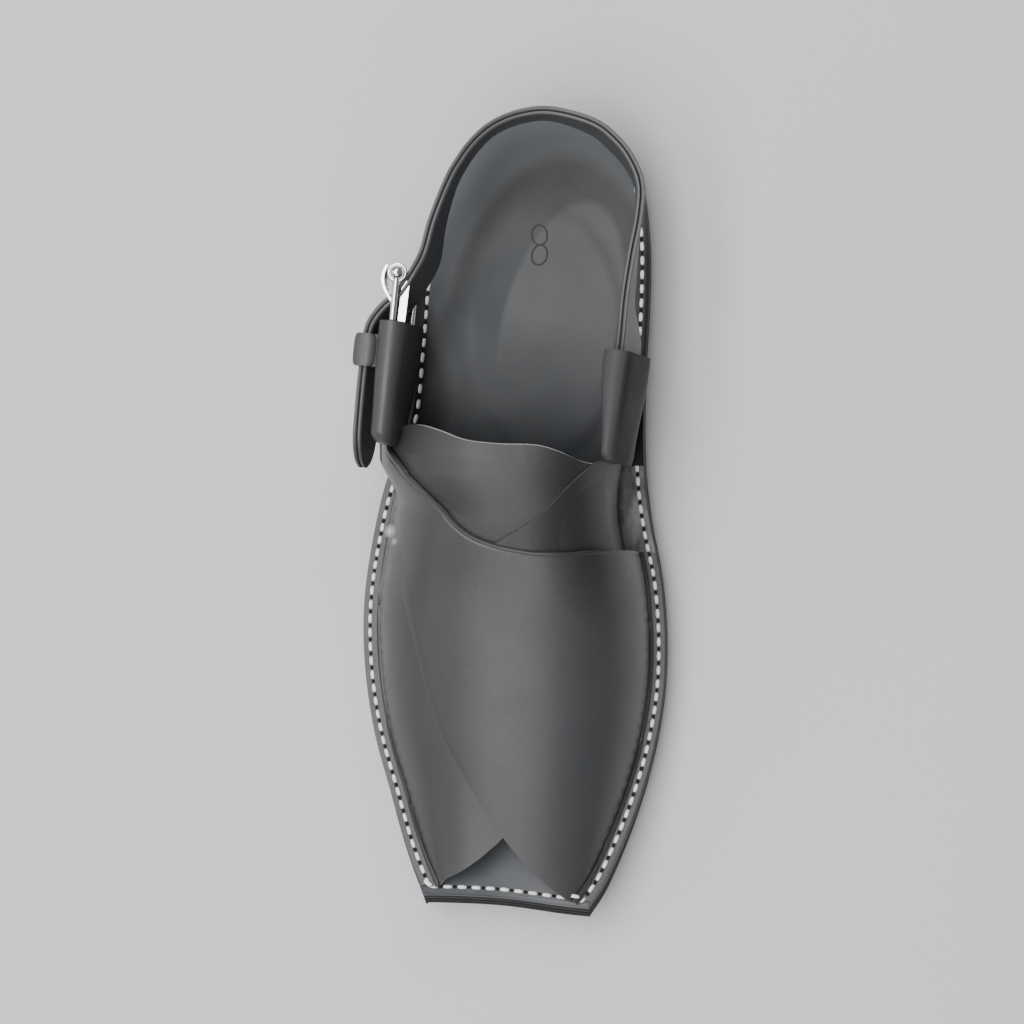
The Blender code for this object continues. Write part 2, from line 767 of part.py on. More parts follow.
def strap_table():
    """The strap's path and lean: inner loop, heel, buckle and hanging end."""
    inner = loop_axis(INNER_LOOP)
    start = inner[0] + (inner[1] - inner[0]) * 2 * STRAP_START
    inner_lean = math.degrees(INNER_LEAN)
    rows = [(*start, inner_lean), (*inner[1], inner_lean), (*inner[2], inner_lean)]
    for along, across, height, lean in HEEL_ROWS:
        y = TOE_Y + along * SOLE_LENGTH
        rows.append((across * BALL_WIDTH, y, rise_at(y) + INSOLE_TOP + height * LOOP_RISE, lean))
    front, direction, outward = buckle_place()
    room = STRAP_THICK / 2 + FRAME_WIRE + 2 * GAP
    outer_lean = -math.degrees(OUTER_LEAN)
    for reach, out in BUCKLE_ROWS:
        rows.append((*(front + direction * reach * BUCKLE_SPAN + outward * out * room), outer_lean))
    for share, out in TAIL_ROWS:
        rows.append((*beside_loop(share, out * KEEPER_OFFSET), outer_lean))
    return spline(rows, 2)


def build_strap():
    """The heel strap, from the inner loop round the heel, out through the buckle to its hanging end."""
    leather = material("strap_leather", (0.040, 0.041, 0.043), 0.38)
    table = strap_table()
    points = table[:, :3]
    sides = path_sides(points)
    profile = rounded_ring(STRAP_THICK, STRAP_HEIGHT, 2)
    rings = []
    for row, point, side in zip(table, points, sides):
        rings.append(point + leaning(profile, math.radians(row[3]), side))
    strap = swept("heel_strap", points, rings, leather)
    front, along, outward = buckle_place()
    middle = front + along * BUCKLE_SPAN / 2
    reach, width = BUCKLE_SPAN / 2, FRAME_WIRE + PRONG_THICK + PRONG_CLEAR
    tall = np.array([0, 0, PRONG_WIDTH / 2 + PRONG_CLEAR])
    corners = ((-1, -1), (1, -1), (1, 1), (-1, 1))
    verts = [middle + k * tall + i * along * reach + j * outward * width for k in (-1, 1) for i, j in corners]
    faces = [(0, 1, 2, 3), (4, 5, 6, 7), (0, 1, 5, 4), (1, 2, 6, 5), (2, 3, 7, 6), (3, 0, 4, 7)]
    boolean(strap, add_object("slot", verts, faces), "DIFFERENCE")


def wire(name, points, radius, finish, closed):
    """A round wire along points, made from a bevelled curve."""
    curve = bpy.data.curves.new(name, "CURVE")
    curve.dimensions = "3D"
    curve.bevel_depth = radius
    curve.bevel_resolution = 2
    curve.use_fill_caps = True
    line = curve.splines.new("POLY")
    line.points.add(len(points) - 1)
    for point, place_at in zip(line.points, points):
        point.co = (*map(float, place_at), 1.0)
    line.use_cyclic_u = closed
    holder = bpy.data.objects.new("path", curve)
    bpy.context.scene.collection.objects.link(holder)
    graph = bpy.context.evaluated_depsgraph_get()
    mesh = bpy.data.meshes.new_from_object(holder.evaluated_get(graph))
    bpy.data.objects.remove(holder, do_unlink=True)
    made = bpy.data.objects.new(name, mesh)
    bpy.context.scene.collection.objects.link(made)
    tidy(made, 1e-6)
    mesh.materials.clear()
    mesh.materials.append(finish)
    return made


def build_buckle():
    """The buckle: one bent wire frame and its flat prong."""
    chrome = material("chrome", (0.80, 0.80, 0.82), 0.12, 1.0)
    front, along, outward = buckle_place()
    up = np.array([math.sin(OUTER_LEAN), 0, math.cos(OUTER_LEAN)])
    path = []
    corners = ((0, -1, 180), (BUCKLE_SPAN, -1, 270), (BUCKLE_SPAN, 1, 0), (0, 1, 90))
    for reach, side, start in corners:
        a0 = reach + (FRAME_CORNER if reach == 0 else -FRAME_CORNER)
        b0 = side * (FRAME_HALF - FRAME_CORNER)
        for degrees in (0, 30, 60, 90):
            angle = math.radians(start + degrees)
            a = a0 + FRAME_CORNER * math.cos(angle)
            b = b0 + FRAME_CORNER * math.sin(angle)
            path.append(front + along * a + up * b)
    wire("buckle_frame", path, FRAME_WIRE, chrome, True)
    clear = FRAME_WIRE + GAP
    rear = front + along * BUCKLE_SPAN
    rest = outward * (clear + PRONG_THICK / 2)
    start = front + along * clear
    bend = rear - along * 2 * PRONG_TIP + rest
    tip = rear + along * (clear + PRONG_TIP) + rest
    points = np.array([start, start + along * PRONG_TIP, bend, rear + rest, tip])
    half = np.array([0, 0, PRONG_WIDTH / 2])
    thick = outward * PRONG_THICK / 2
    rings = [np.array([p + half + thick, p + half - thick, p - half - thick, p - half + thick]) for p in points]
    swept("buckle_prong", points, rings, chrome)


def build_keeper():
    """The loop of leather that holds the strap's end beside the upper's loop."""
    leather = material("strap_leather", (0.040, 0.041, 0.043), 0.38)
    middle = beside_loop(KEEPER_AT, KEEPER_OFFSET)
    along = beside_loop(0, KEEPER_OFFSET) - beside_loop(1, KEEPER_OFFSET)
    along /= np.linalg.norm(along)
    points = np.array([middle - along * KEEPER_LENGTH / 2, middle, middle + along * KEEPER_LENGTH / 2])
    outer = rounded_ring(KEEPER_WIDTH, KEEPER_HEIGHT, 4)
    wall = 2 * KEEPER_WALL
    inner = rounded_ring(KEEPER_WIDTH - wall, KEEPER_HEIGHT - wall, 4)
    tube("keeper", points, OUTER_LEAN, outer, inner, leather)


def centre_model():
    """Moves every mesh so that the model stands on its box's bottom centre."""
    meshes = [thing for thing in bpy.context.scene.objects if thing.type == "MESH"]
    points = np.array([vert.co for thing in meshes for vert in thing.data.vertices])
    low, high = points.min(axis=0), points.max(axis=0)
    shift = np.array([(low[0] + high[0]) / 2, (low[1] + high[1]) / 2, low[2]])
    for thing in meshes:
        for vert in thing.data.vertices:
            vert.co = np.array(vert.co) - shift


clear_scene()
build_sole()
build_upper()
build_strap()
build_buckle()
build_keeper()
centre_model()
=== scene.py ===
"""Looks of the peshawari chappal: a black leather sandal for the right foot, seen from above.
Metres, +Z up, toe towards -Y, inner side towards +X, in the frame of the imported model."""

import math

import bmesh
import bpy
import numpy as np
from mathutils import Matrix, Vector


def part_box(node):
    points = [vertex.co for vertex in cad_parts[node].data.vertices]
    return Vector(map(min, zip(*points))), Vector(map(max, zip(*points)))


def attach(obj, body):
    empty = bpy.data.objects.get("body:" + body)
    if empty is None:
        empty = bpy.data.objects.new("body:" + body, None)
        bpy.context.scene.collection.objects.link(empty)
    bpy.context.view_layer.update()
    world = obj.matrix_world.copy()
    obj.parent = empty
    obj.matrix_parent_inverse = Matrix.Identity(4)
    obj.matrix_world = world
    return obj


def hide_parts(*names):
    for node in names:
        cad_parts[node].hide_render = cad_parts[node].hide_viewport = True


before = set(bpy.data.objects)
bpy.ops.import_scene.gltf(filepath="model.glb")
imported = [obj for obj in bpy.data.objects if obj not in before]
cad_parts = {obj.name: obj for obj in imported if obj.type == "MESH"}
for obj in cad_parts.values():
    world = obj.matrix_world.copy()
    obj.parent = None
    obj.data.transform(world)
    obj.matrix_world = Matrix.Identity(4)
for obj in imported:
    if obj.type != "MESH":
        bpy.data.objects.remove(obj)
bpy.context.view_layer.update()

# The camera looks almost straight down from 1.1 m, a little ahead of the shoe's inner side, as in
# the photograph. The floor is a plain pale sheet. Light comes from large soft boxes, the strongest
# of them over the outer side, with weak ones behind the heel and before the toe.

CAMERA_AT = (0.0547, -0.0226, 1.100)
CAMERA_LENS = 108.3
FLOOR_HALF = 6.0
FLOOR_COLOUR = (0.66, 0.66, 0.67, 1.0)


def aim(thing, target):
    """Turns a camera or light so that it looks at a target with the heel up: -Z ahead, +Y up."""
    ahead = (Vector(target) - thing.location).normalized()
    right = ahead.cross(Vector((0.0, 1.0, 0.0))).normalized()
    upward = right.cross(ahead)
    thing.rotation_euler = Matrix((right, upward, -ahead)).transposed().to_euler()


def add_softbox(name, place, width, height, watts, colour=(1.0, 1.0, 1.0)):
    """A rectangular area light at a place, aimed at the shoe."""
    light = bpy.data.lights.new(name, "AREA")
    light.shape = "RECTANGLE"
    light.size = width
    light.size_y = height
    light.energy = watts
    light.color = colour
    holder = bpy.data.objects.new(name, light)
    holder.location = place
    bpy.context.scene.collection.objects.link(holder)
    aim(holder, (0.0, 0.0, 0.03))
    return holder


lens = bpy.data.cameras.new("camera")
lens.lens = CAMERA_LENS
lens.sensor_width = 36.0
camera = bpy.data.objects.new("camera", lens)
camera.location = CAMERA_AT
bpy.context.scene.collection.objects.link(camera)
aim(camera, (0.0, 0.0, 0.030))
bpy.context.scene.camera = camera

floor_mesh = bpy.data.meshes.new("floor")
corners = [(x * FLOOR_HALF, y * FLOOR_HALF, -0.0002) for x, y in ((-1, -1), (1, -1), (1, 1), (-1, 1))]
floor_mesh.from_pydata(corners, [], [(0, 1, 2, 3)])
floor = bpy.data.objects.new("floor", floor_mesh)
bpy.context.scene.collection.objects.link(floor)
floor_finish = bpy.data.materials.new("floor_sheet")
floor_finish.use_nodes = True
floor_finish.node_tree.nodes["Principled BSDF"].inputs["Base Color"].default_value = FLOOR_COLOUR
floor_finish.node_tree.nodes["Principled BSDF"].inputs["Roughness"].default_value = 0.85
floor_mesh.materials.append(floor_finish)

room = bpy.data.worlds.new("room")
room.use_nodes = True
room.node_tree.nodes["Background"].inputs["Color"].default_value = (0.80, 0.82, 0.85, 1.0)
room.node_tree.nodes["Background"].inputs["Strength"].default_value = 0.20
bpy.context.scene.world = room
add_softbox("softbox_over", (-0.42, 0.02, 1.55), 0.95, 1.9, 36.0)
add_softbox("softbox_outer", (-1.25, -0.05, 0.80), 0.7, 1.4, 4.5)
add_softbox("softbox_toe", (-0.05, -1.20, 1.15), 1.0, 0.7, 6.5)
add_softbox("softbox_heel", (0.10, 1.15, 1.25), 0.9, 0.7, 6.0)

# The sole is a stack of four layers: a rubber outsole with a heel lift nailed under it, a leather
# midsole, and the insole board covered in polished leather. Their edges are trimmed together,
# sanded round and inked black.

SOLE_LENGTH = 0.285
BALL_WIDTH = 0.109
TOE_Y = -SOLE_LENGTH / 2
TOE_SPRING = 0.015
SPRING_END = 0.30
HEEL_RAISE = 0.010
RISE_START = 0.42
RISE_SPAN = 0.28
EASE_SPAN = 0.040
GAP = 0.0003
OUTSOLE_TOP = 0.0070
MIDSOLE_TOP = 0.0109
INSOLE_TOP = 0.0140
HEEL_BREAST = 0.715

# Edge of the sole from the outer toe corner round the heel to the inner toe corner:
# share of the length from the toe, share of the ball width from the middle line
EDGE_ROWS = (
    (0.017, -0.279), (0.080, -0.343), (0.152, -0.398), (0.223, -0.449), (0.299, -0.480),
    (0.374, -0.488), (0.448, -0.469), (0.522, -0.431), (0.577, -0.384), (0.632, -0.332),
    (0.709, -0.309), (0.790, -0.290), (0.864, -0.245), (0.914, -0.200), (0.961, -0.120),
    (0.989, -0.010), (1.000, 0.130), (0.989, 0.250), (0.961, 0.358), (0.914, 0.421),
    (0.840, 0.447), (0.766, 0.447), (0.668, 0.434), (0.571, 0.431), (0.497, 0.450),
    (0.423, 0.485), (0.349, 0.500), (0.273, 0.492), (0.195, 0.456), (0.117, 0.395),
    (0.041, 0.312), (0.003, 0.250),
)
TOE_ROWS = (
    (0.003, 0.250),
    (0.006, 0.170),
    (0.016, -0.040),
    (0.019, -0.250),
    (0.017, -0.279),
)


def spline(rows, steps):
    """Catmull-Rom curve through the rows: each span is the usual cubic of its four nearest rows."""
    given = np.array(rows, float)
    ends = np.vstack([2 * given[0] - given[1], given, 2 * given[-1] - given[-2]])
    u = (np.arange(steps) / steps)[None, :, None]
    a, b, c, d = (ends[k : len(ends) - 3 + k, None, :] for k in range(4))
    curve = 2 * b + (c - a) * u + (2 * a - 5 * b + 4 * c - d) * u**2
    curve = 0.5 * (curve + (3 * b - a - 3 * c + d) * u**3)
    return np.vstack([curve.reshape(-1, given.shape[1]), given[-1:]])


def plan(rows):
    """Shares of length and ball width turned into x and y on the flat plan."""
    shares = np.array(rows, float)
    return np.column_stack([shares[:, 1] * BALL_WIDTH, TOE_Y + shares[:, 0] * SOLE_LENGTH])


def resample(line, count):
    """A polyline as a number of points at equal distances along it."""
    length = np.concatenate([[0], np.cumsum(np.linalg.norm(np.diff(line, axis=0), axis=1))])
    at = np.linspace(0, length[-1], count)
    return np.column_stack([np.interp(at, length, line[:, k]) for k in range(line.shape[1])])


SOLE_SIDE = plan(spline(EDGE_ROWS, 16))
SOLE_TOE = plan(spline(TOE_ROWS, 16))
HEEL_INDEX = int(np.argmax(SOLE_SIDE[:, 1]))
EDGE_COUNT = 260
TOE_COUNT = 49
OUTER_EDGE = resample(SOLE_SIDE[: HEEL_INDEX + 1], EDGE_COUNT)
INNER_EDGE = resample(SOLE_SIDE[HEEL_INDEX:][::-1], EDGE_COUNT)
TOE_EDGE = resample(SOLE_TOE[::-1], TOE_COUNT)
OUTLINE = np.vstack([OUTER_EDGE, INNER_EDGE[-2::-1], TOE_EDGE[-2:0:-1]])

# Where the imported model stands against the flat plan
SHIFT_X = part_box("outsole")[0][0] - OUTLINE[:, 0].min()
SHIFT_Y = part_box("outsole")[1][1] - OUTLINE[:, 1].max()


def rise_at(y):
    """Height of the sole's underside: a parabola of toe spring, flat, then a smooth climb to the heel."""
    share = (y - TOE_Y) / SOLE_LENGTH
    spring = TOE_SPRING * np.clip((SPRING_END - share) / SPRING_END, 0, None) ** 2
    climb = np.clip((share - RISE_START) / RISE_SPAN, 0, 1)
    return spring + HEEL_RAISE * climb**2 * (3 - 2 * climb)


PROFILE_Y = TOE_Y + SOLE_LENGTH * np.linspace(-0.3, 1.3, 1601)
PROFILE_BELL = np.exp(-((np.linspace(-0.10, 0.10, 201) / EASE_SPAN) ** 2) / 2)
PROFILE_EASED = np.convolve(rise_at(PROFILE_Y), PROFILE_BELL / PROFILE_BELL.sum(), "same")
PROFILE_TILT = -np.arctan(np.gradient(PROFILE_EASED, PROFILE_Y))


def bend(x, y, height):
    """A point at a height over the flat plan, bent along with the sole's profile and put in place.
    Above the insole the profile is averaged over 4% of the length, as stiff leather evens it out."""
    soft = np.clip((height - 0.018) / 0.020, 0, 1)
    rise = rise_at(y) + soft * (np.interp(y, PROFILE_Y, PROFILE_EASED) - rise_at(y))
    sharp = -np.arctan((rise_at(y + 0.002) - rise_at(y - 0.002)) / 0.004)
    tilt = sharp + soft * (np.interp(y, PROFILE_Y, PROFILE_TILT) - sharp)
    y, z = y + height * np.sin(tilt) + SHIFT_Y, rise + height * np.cos(tilt)
    return np.stack(np.broadcast_arrays(x + SHIFT_X, y, z), axis=-1)


def inset(outline, distance):
    """A closed plan outline moved inwards along the mean of its two neighbouring edge normals."""
    first = outline - np.roll(outline, 1, axis=0)
    second = np.roll(outline, -1, axis=0) - outline
    first = first / np.linalg.norm(first, axis=1, keepdims=True)
    second = second / np.linalg.norm(second, axis=1, keepdims=True)
    after = np.roll(outline, -1, axis=0)
    inward = np.sign(np.sum(outline[:, 0] * after[:, 1] - after[:, 0] * outline[:, 1]))
    mitre = (first + second) @ np.array([[0, 1], [-1, 0]]) * inward
    scale = 2 / np.clip(np.sum(mitre * mitre, axis=1, keepdims=True), 0.8, None)
    return outline + mitre * scale * distance


def grid_faces(rows, columns, start=0, turn=False):
    """Quads of a grid of points stored row by row."""
    i, j = np.meshgrid(np.arange(rows - 1), np.arange(columns - 1), indexing="ij")
    a = (start + i * columns + j).ravel()
    quads = np.stack([a, a + 1, a + columns + 1, a + columns], axis=1)
    return quads[:, ::-1] if turn else quads


def add_mesh(name, verts, faces, finish, sharp=40.0, check=True):
    """A smooth mesh object from points and quads: doubles merged, normals outwards, sharp edges kept."""
    mesh = bpy.data.meshes.new(name)
    mesh.from_pydata(np.asarray(verts, float).tolist(), [], np.asarray(faces).tolist())
    work = bmesh.new()
    work.from_mesh(mesh)
    bmesh.ops.remove_doubles(work, verts=work.verts, dist=2e-6)
    bmesh.ops.dissolve_degenerate(work, dist=1e-6, edges=work.edges)
    if check:
        bmesh.ops.recalc_face_normals(work, faces=work.faces)
    work.to_mesh(mesh)
    work.free()
    mesh.polygons.foreach_set("use_smooth", np.ones(len(mesh.polygons), bool))
    mesh.set_sharp_from_angle(angle=math.radians(sharp))
    made = bpy.data.objects.new(name, mesh)
    bpy.context.scene.collection.objects.link(made)
    for one in finish if isinstance(finish, tuple) else (finish,):
        mesh.materials.append(one)
    return made


def join_grids(name, grids, finish):
    """One mesh object from several grids of points."""
    verts, faces, start = [], [], 0
    for grid in grids:
        verts.append(grid.reshape(-1, 3))
        faces.append(grid_faces(*grid.shape[:2], start))
        start += grid.shape[0] * grid.shape[1]
    return add_mesh(name, np.vstack(verts), np.vstack(faces), finish)


def fade(value, width):
    """A soft step: one well below zero, nothing well above it."""
    return 1 / (1 + np.exp(np.clip(value / width, -60, 60)))


def bell(value, width):
    """A soft hump round zero."""
    return np.exp(-((value / width) ** 2))


def new_finish(name, colour, roughness, **sockets):
    """A Principled material with its constant values set on the shader's own sockets."""
    made = bpy.data.materials.new(name)
    made.use_nodes = True
    shader = made.node_tree.nodes["Principled BSDF"]
    shader.inputs["Base Color"].default_value = (*colour, 1.0)
    shader.inputs["Roughness"].default_value = roughness
    for socket, value in sockets.items():
        shader.inputs[socket.replace("_", " ")].default_value = value
    return made, made.node_tree, shader


def object_noise(tree, scale, detail=4.0, stretch=(1, 1, 1), centre=(0, 0, 0)):
    """Noise in the object's own coordinates, through a Mapping node."""
    place = tree.nodes.new("ShaderNodeTexCoord")
    mapping = tree.nodes.new("ShaderNodeMapping")
    mapping.inputs["Scale"].default_value = stretch
    mapping.inputs["Location"].default_value = centre
    noise = tree.nodes.new("ShaderNodeTexNoise")
    noise.inputs["Scale"].default_value = scale
    noise.inputs["Detail"].default_value = detail
    tree.links.new(place.outputs["Object"], mapping.inputs["Vector"])
    tree.links.new(mapping.outputs["Vector"], noise.inputs["Vector"])
    return noise


def spread(tree, source, low, high, start=0.3, end=0.7):
    """Maps a noise between two values."""
    step = tree.nodes.new("ShaderNodeMapRange")
    step.inputs["From Min"].default_value = start
    step.inputs["From Max"].default_value = end
    step.inputs["To Min"].default_value = low
    step.inputs["To Max"].default_value = high
    tree.links.new(source, step.inputs["Value"])
    return step.outputs["Result"]


def tint(tree, source, first, second, start=0.3, end=0.7):
    """Mixes two colours by a noise."""
    ramp = tree.nodes.new("ShaderNodeValToRGB")
    ramp.color_ramp.elements[0].position = start
    ramp.color_ramp.elements[1].position = end
    ramp.color_ramp.elements[0].color = (*first, 1.0)
    ramp.color_ramp.elements[1].color = (*second, 1.0)
    tree.links.new(source, ramp.inputs["Fac"])
    return ramp.outputs["Color"]


def add_bump(tree, shader, source, strength, distance, under=None):
    """One layer of bump, over an earlier one if there is one."""
    bump = tree.nodes.new("ShaderNodeBump")
    bump.inputs["Strength"].default_value = strength
    bump.inputs["Distance"].default_value = distance
    tree.links.new(source, bump.inputs["Height"])
    if under is not None:
        tree.links.new(under, bump.inputs["Normal"])
    tree.links.new(bump.outputs["Normal"], shader.inputs["Normal"])
    return bump.outputs["Normal"]


def leather_finish(name, warm, cool, gloss, grain=1.0, coat=0.25, gleam=0.5):
    """Finished leather: fine pebbled grain, slow drift of colour and of polish, thin clear dressing."""
    layers = {"Coat_Weight": coat, "Coat_Roughness": 0.22, "Specular_IOR_Level": gleam}
    made, tree, shader = new_finish(name, cool, gloss, **layers)
    drift = object_noise(tree, 16.0, 3.0)
    tree.links.new(tint(tree, drift.outputs["Fac"], warm, cool), shader.inputs["Base Color"])
    polish = object_noise(tree, 55.0, 5.0, centre=(0.3, 0.1, 0.2))
    polished = spread(tree, polish.outputs["Fac"], gloss - 0.05, gloss + 0.06)
    tree.links.new(polished, shader.inputs["Roughness"])
    pebble = tree.nodes.new("ShaderNodeTexVoronoi")
    place = tree.nodes.new("ShaderNodeTexCoord")
    tree.links.new(place.outputs["Object"], pebble.inputs["Vector"])
    pebble.inputs["Scale"].default_value = 1500.0
    under = add_bump(tree, shader, pebble.outputs["Distance"], 0.10 * grain, 0.0002)
    fine = object_noise(tree, 420.0, 6.0)
    add_bump(tree, shader, fine.outputs["Fac"], 0.12 * grain, 0.0004, under)
    return made


def rubber_finish(name, colour, rough):
    """Moulded rubber: matt black with a very fine tooth."""
    made, tree, shader = new_finish(name, colour, rough, Specular_IOR_Level=0.22)
    wear = object_noise(tree, 60.0, 6.0)
    tone = tuple(1.5 * c for c in colour)
    tree.links.new(tint(tree, wear.outputs["Fac"], colour, tone), shader.inputs["Base Color"])
    tooth = object_noise(tree, 900.0, 3.0)
    add_bump(tree, shader, tooth.outputs["Fac"], 0.25, 0.0002)
    return made


RUBBER = rubber_finish("sole_rubber_finish", (0.008, 0.008, 0.009), 0.62)
EDGE_TONES = ((0.009, 0.009, 0.009), (0.013, 0.013, 0.014))
EDGE_LEATHER = leather_finish("sole_edge_finish", *EDGE_TONES, 0.60, 0.7, 0.0, 0.25)

# Tread of the outsole and the heel: cross grooves at shares of the length
FORE_GROOVES = (0.16, 0.22, 0.28, 0.34, 0.40)
HEEL_GROOVES = (0.79, 0.85, 0.91)
GROOVE_DEPTH = 0.0022
GROOVE_WIDTH = 0.0050
RIB_DEPTH = 0.0005
RIB_PITCH = 0.0022


def side_x(edge, y):
    """Where one side of the sole's edge lies at a length."""
    return np.interp(y, edge[:, 1], edge[:, 0])


def tread(x, y, grooves):
    """Depth of the cross grooves: a smooth box along the length times a smooth box across it, with
    fine sine ribs between them."""
    x0, x1 = side_x(OUTER_EDGE, y), side_x(INNER_EDGE, y)
    across = np.abs(x - (x0 + x1) / 2) / ((x1 - x0) / 2)
    wide = fade(across - 0.60, 0.012)
    depth = np.zeros_like(x)
    for share in grooves:
        middle = TOE_Y + share * SOLE_LENGTH + GROOVE_WIDTH / 2
        depth += GROOVE_DEPTH * fade(np.abs(y - middle) - GROOVE_WIDTH / 2, 0.0003)
    ribs = RIB_DEPTH / 2 * (1 + np.sin(y / RIB_PITCH * 2 * math.pi))
    return depth * wide + ribs * fade(across - 0.92, 0.01)


def across_lines(left, right, columns):
    """A grid of straight lines from each point of one edge to its fellow on the other."""
    u = np.linspace(0, 1, columns)[None, :, None]
    return left[:, None] * (1 - u) + right[:, None] * u


def cap_grid(border):
    """Inside of a sole outline: lines from the outer to the inner edge, the first bent to the toe."""
    outer = border[:EDGE_COUNT]
    inner = border[EDGE_COUNT - 1 : 2 * EDGE_COUNT - 1][::-1]
    toe = np.vstack([outer[:1], border[2 * EDGE_COUNT - 1 :][::-1], inner[:1]])
    flat = across_lines(outer, inner, TOE_COUNT)
    away = np.clip(1 - np.linspace(0, 1, EDGE_COUNT) / 0.05, 0, 1)[:, None, None] ** 2
    return flat + away * (toe - flat[0])[None]


def capped_rings(name, outline, rings, fill, reliefs, finish):
    """A solid of rings, each an outline at an inset and a height: walls from ring to ring, and a cap
    filled in at the lowest and at the highest ring, with its own relief."""
    verts, faces, start = [], [], 0
    for k, relief in zip((0, -1), reliefs):
        distance, height = rings[k]
        flat = fill(inset(outline, distance))
        level = np.full(flat.shape[:2], height)
        if relief is not None:
            level = level + relief(flat[..., 0], flat[..., 1])
        verts.append(bend(flat[..., 0], flat[..., 1], level).reshape(-1, 3))
        faces.append(grid_faces(*flat.shape[:2], start, turn=k == 0))
        start += flat.shape[0] * flat.shape[1]
    walls = []
    for distance, height in rings:
        flat = inset(outline, distance)
        flat = np.vstack([flat, flat[:1]])
        walls.append(bend(flat[:, 0], flat[:, 1], height))
    verts.append(np.vstack(walls))
    faces.append(grid_faces(len(rings), len(outline) + 1, start))
    return add_mesh(name, np.vstack(verts), np.vstack(faces), finish)


def fore_tread(x, y):
    """The outsole's cross grooves, under the ball of the foot."""
    return tread(x, y, FORE_GROOVES)


def heel_tread(x, y):
    """The heel lift's cross grooves."""
    return tread(x, y, HEEL_GROOVES)


OUTSOLE_RINGS = (
    (0.0014, 0.0), (0.0006, 0.0002), (0.0001, 0.0008), (0.0, 0.0016), (0.0, 0.0034),
    (0.0002, 0.0038), (0.0006, 0.0042), (0.0002, 0.0046), (0.0, 0.0050), (0.0, 0.0066),
    (0.0003, OUTSOLE_TOP),
)
outsole = capped_rings("outsole_dressed", OUTLINE, OUTSOLE_RINGS, cap_grid, (fore_tread, None), RUBBER)
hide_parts("outsole")
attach(outsole, "root")

MIDSOLE_RINGS = (
    (0.0007, OUTSOLE_TOP + GAP),
    (0.0002, OUTSOLE_TOP + GAP + 0.0004),
    (0.0001, OUTSOLE_TOP + GAP + 0.0014),
    (0.0001, MIDSOLE_TOP - 0.0010),
    (0.0003, MIDSOLE_TOP - 0.0003),
    (0.0008, MIDSOLE_TOP),
)
midsole = capped_rings("midsole_dressed", OUTLINE, MIDSOLE_RINGS, cap_grid, (None, None), EDGE_LEATHER)
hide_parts("midsole")
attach(midsole, "root")

HEEL_RINGS = ((0.0014, -0.0100), (0.0005, -0.0096), (0.0002, -0.0088), (0.0002, -0.0010), (0.0008, -GAP))


def heel_seat():
    """Plan outline of the heel lift: the sole's edge behind the breast, and the straight breast."""
    breast = TOE_Y + HEEL_BREAST * SOLE_LENGTH
    rear = SOLE_SIDE[SOLE_SIDE[:, 1] > breast]
    first = [[side_x(OUTER_EDGE, breast), breast]]
    final = [[side_x(INNER_EDGE, breast), breast]]
    return np.vstack([first, rear, final])


def build_heel_lift():
    """The heel lift: rings of its outline from tread to top, each cap a grid of lines across."""
    seat = heel_seat()
    top = int(np.argmax(seat[:, 1]))
    count, columns = 120, 41
    sides = [resample(seat[: top + 1], count), resample(seat[top:][::-1], count)]
    loop = np.vstack([sides[0], sides[1][-2::-1], np.linspace(sides[1][0], sides[0][0], columns)[1:-1]])

    def fill(border):
        """Lines across the heel from its outer to its inner side."""
        return across_lines(border[:count], border[count - 1 : 2 * count - 1][::-1], columns)

    return capped_rings("heel_lift_dressed", loop, HEEL_RINGS, fill, (heel_tread, None), RUBBER)


heel_lift = build_heel_lift()
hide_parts("heel_lift")
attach(heel_lift, "root")

# The insole is a leather board with a padded heel bed pressed into it. Ovals of painted shade and
# painted reflection lie on it: a pale blue-grey rim round the heel, a browner crescent inside it, a lighter
# heel bed.

HEEL_BED = (0.0115, 0.0640, 0.0265, 0.0420)
EIGHT_AT = (0.0093, 0.0937)
EIGHT_RING = (0.0027, 0.0035)
EIGHT_LINE = 0.00030


def oval(x, y, middle_x, middle_y, half_x, half_y):
    """Distance from an ellipse as a share of its size: below one inside, above one outside."""
    return np.hypot((x - middle_x) / half_x, (y - middle_y) / half_y)


def insole_relief(x, y):
    """The foot's bed: a shallow heel cup and a low padded oval with a soft rim."""
    x, y = x + SHIFT_X, y + SHIFT_Y
    cup = -0.0007 * np.exp(-(oval(x, y, 0.012, 0.088, 0.030, 0.045) ** 4))
    return cup + 0.00035 * fade(oval(x, y, *HEEL_BED) - 1, 0.02)


def oval_mask(tree, place, middle, half, edge, angle=0.0):
    """A soft-edged oval over the object's plan: one inside, nothing outside."""
    mapping = tree.nodes.new("ShaderNodeMapping")
    mapping.vector_type = "TEXTURE"
    mapping.inputs["Location"].default_value = (middle[0], middle[1], 0.0)
    mapping.inputs["Rotation"].default_value = (0.0, 0.0, angle)
    mapping.inputs["Scale"].default_value = (half[0], half[1], 1000.0)
    length = tree.nodes.new("ShaderNodeVectorMath")
    length.operation = "LENGTH"
    tree.links.new(place.outputs["Object"], mapping.inputs["Vector"])
    tree.links.new(mapping.outputs["Vector"], length.inputs[0])
    return spread(tree, length.outputs["Value"], 1.0, 0.0, 1.0 - edge, 1.0 + edge)


def layer_tone(tree, below, mask, colour):
    """Lays a colour over the tones below it, through a mask."""
    mix = tree.nodes.new("ShaderNodeMix")
    mix.data_type = "RGBA"
    tree.links.new(mask, mix.inputs["Factor"])
    tree.links.new(below, mix.inputs["A"])
    mix.inputs["B"].default_value = (*colour, 1.0)
    return mix.outputs["Result"]


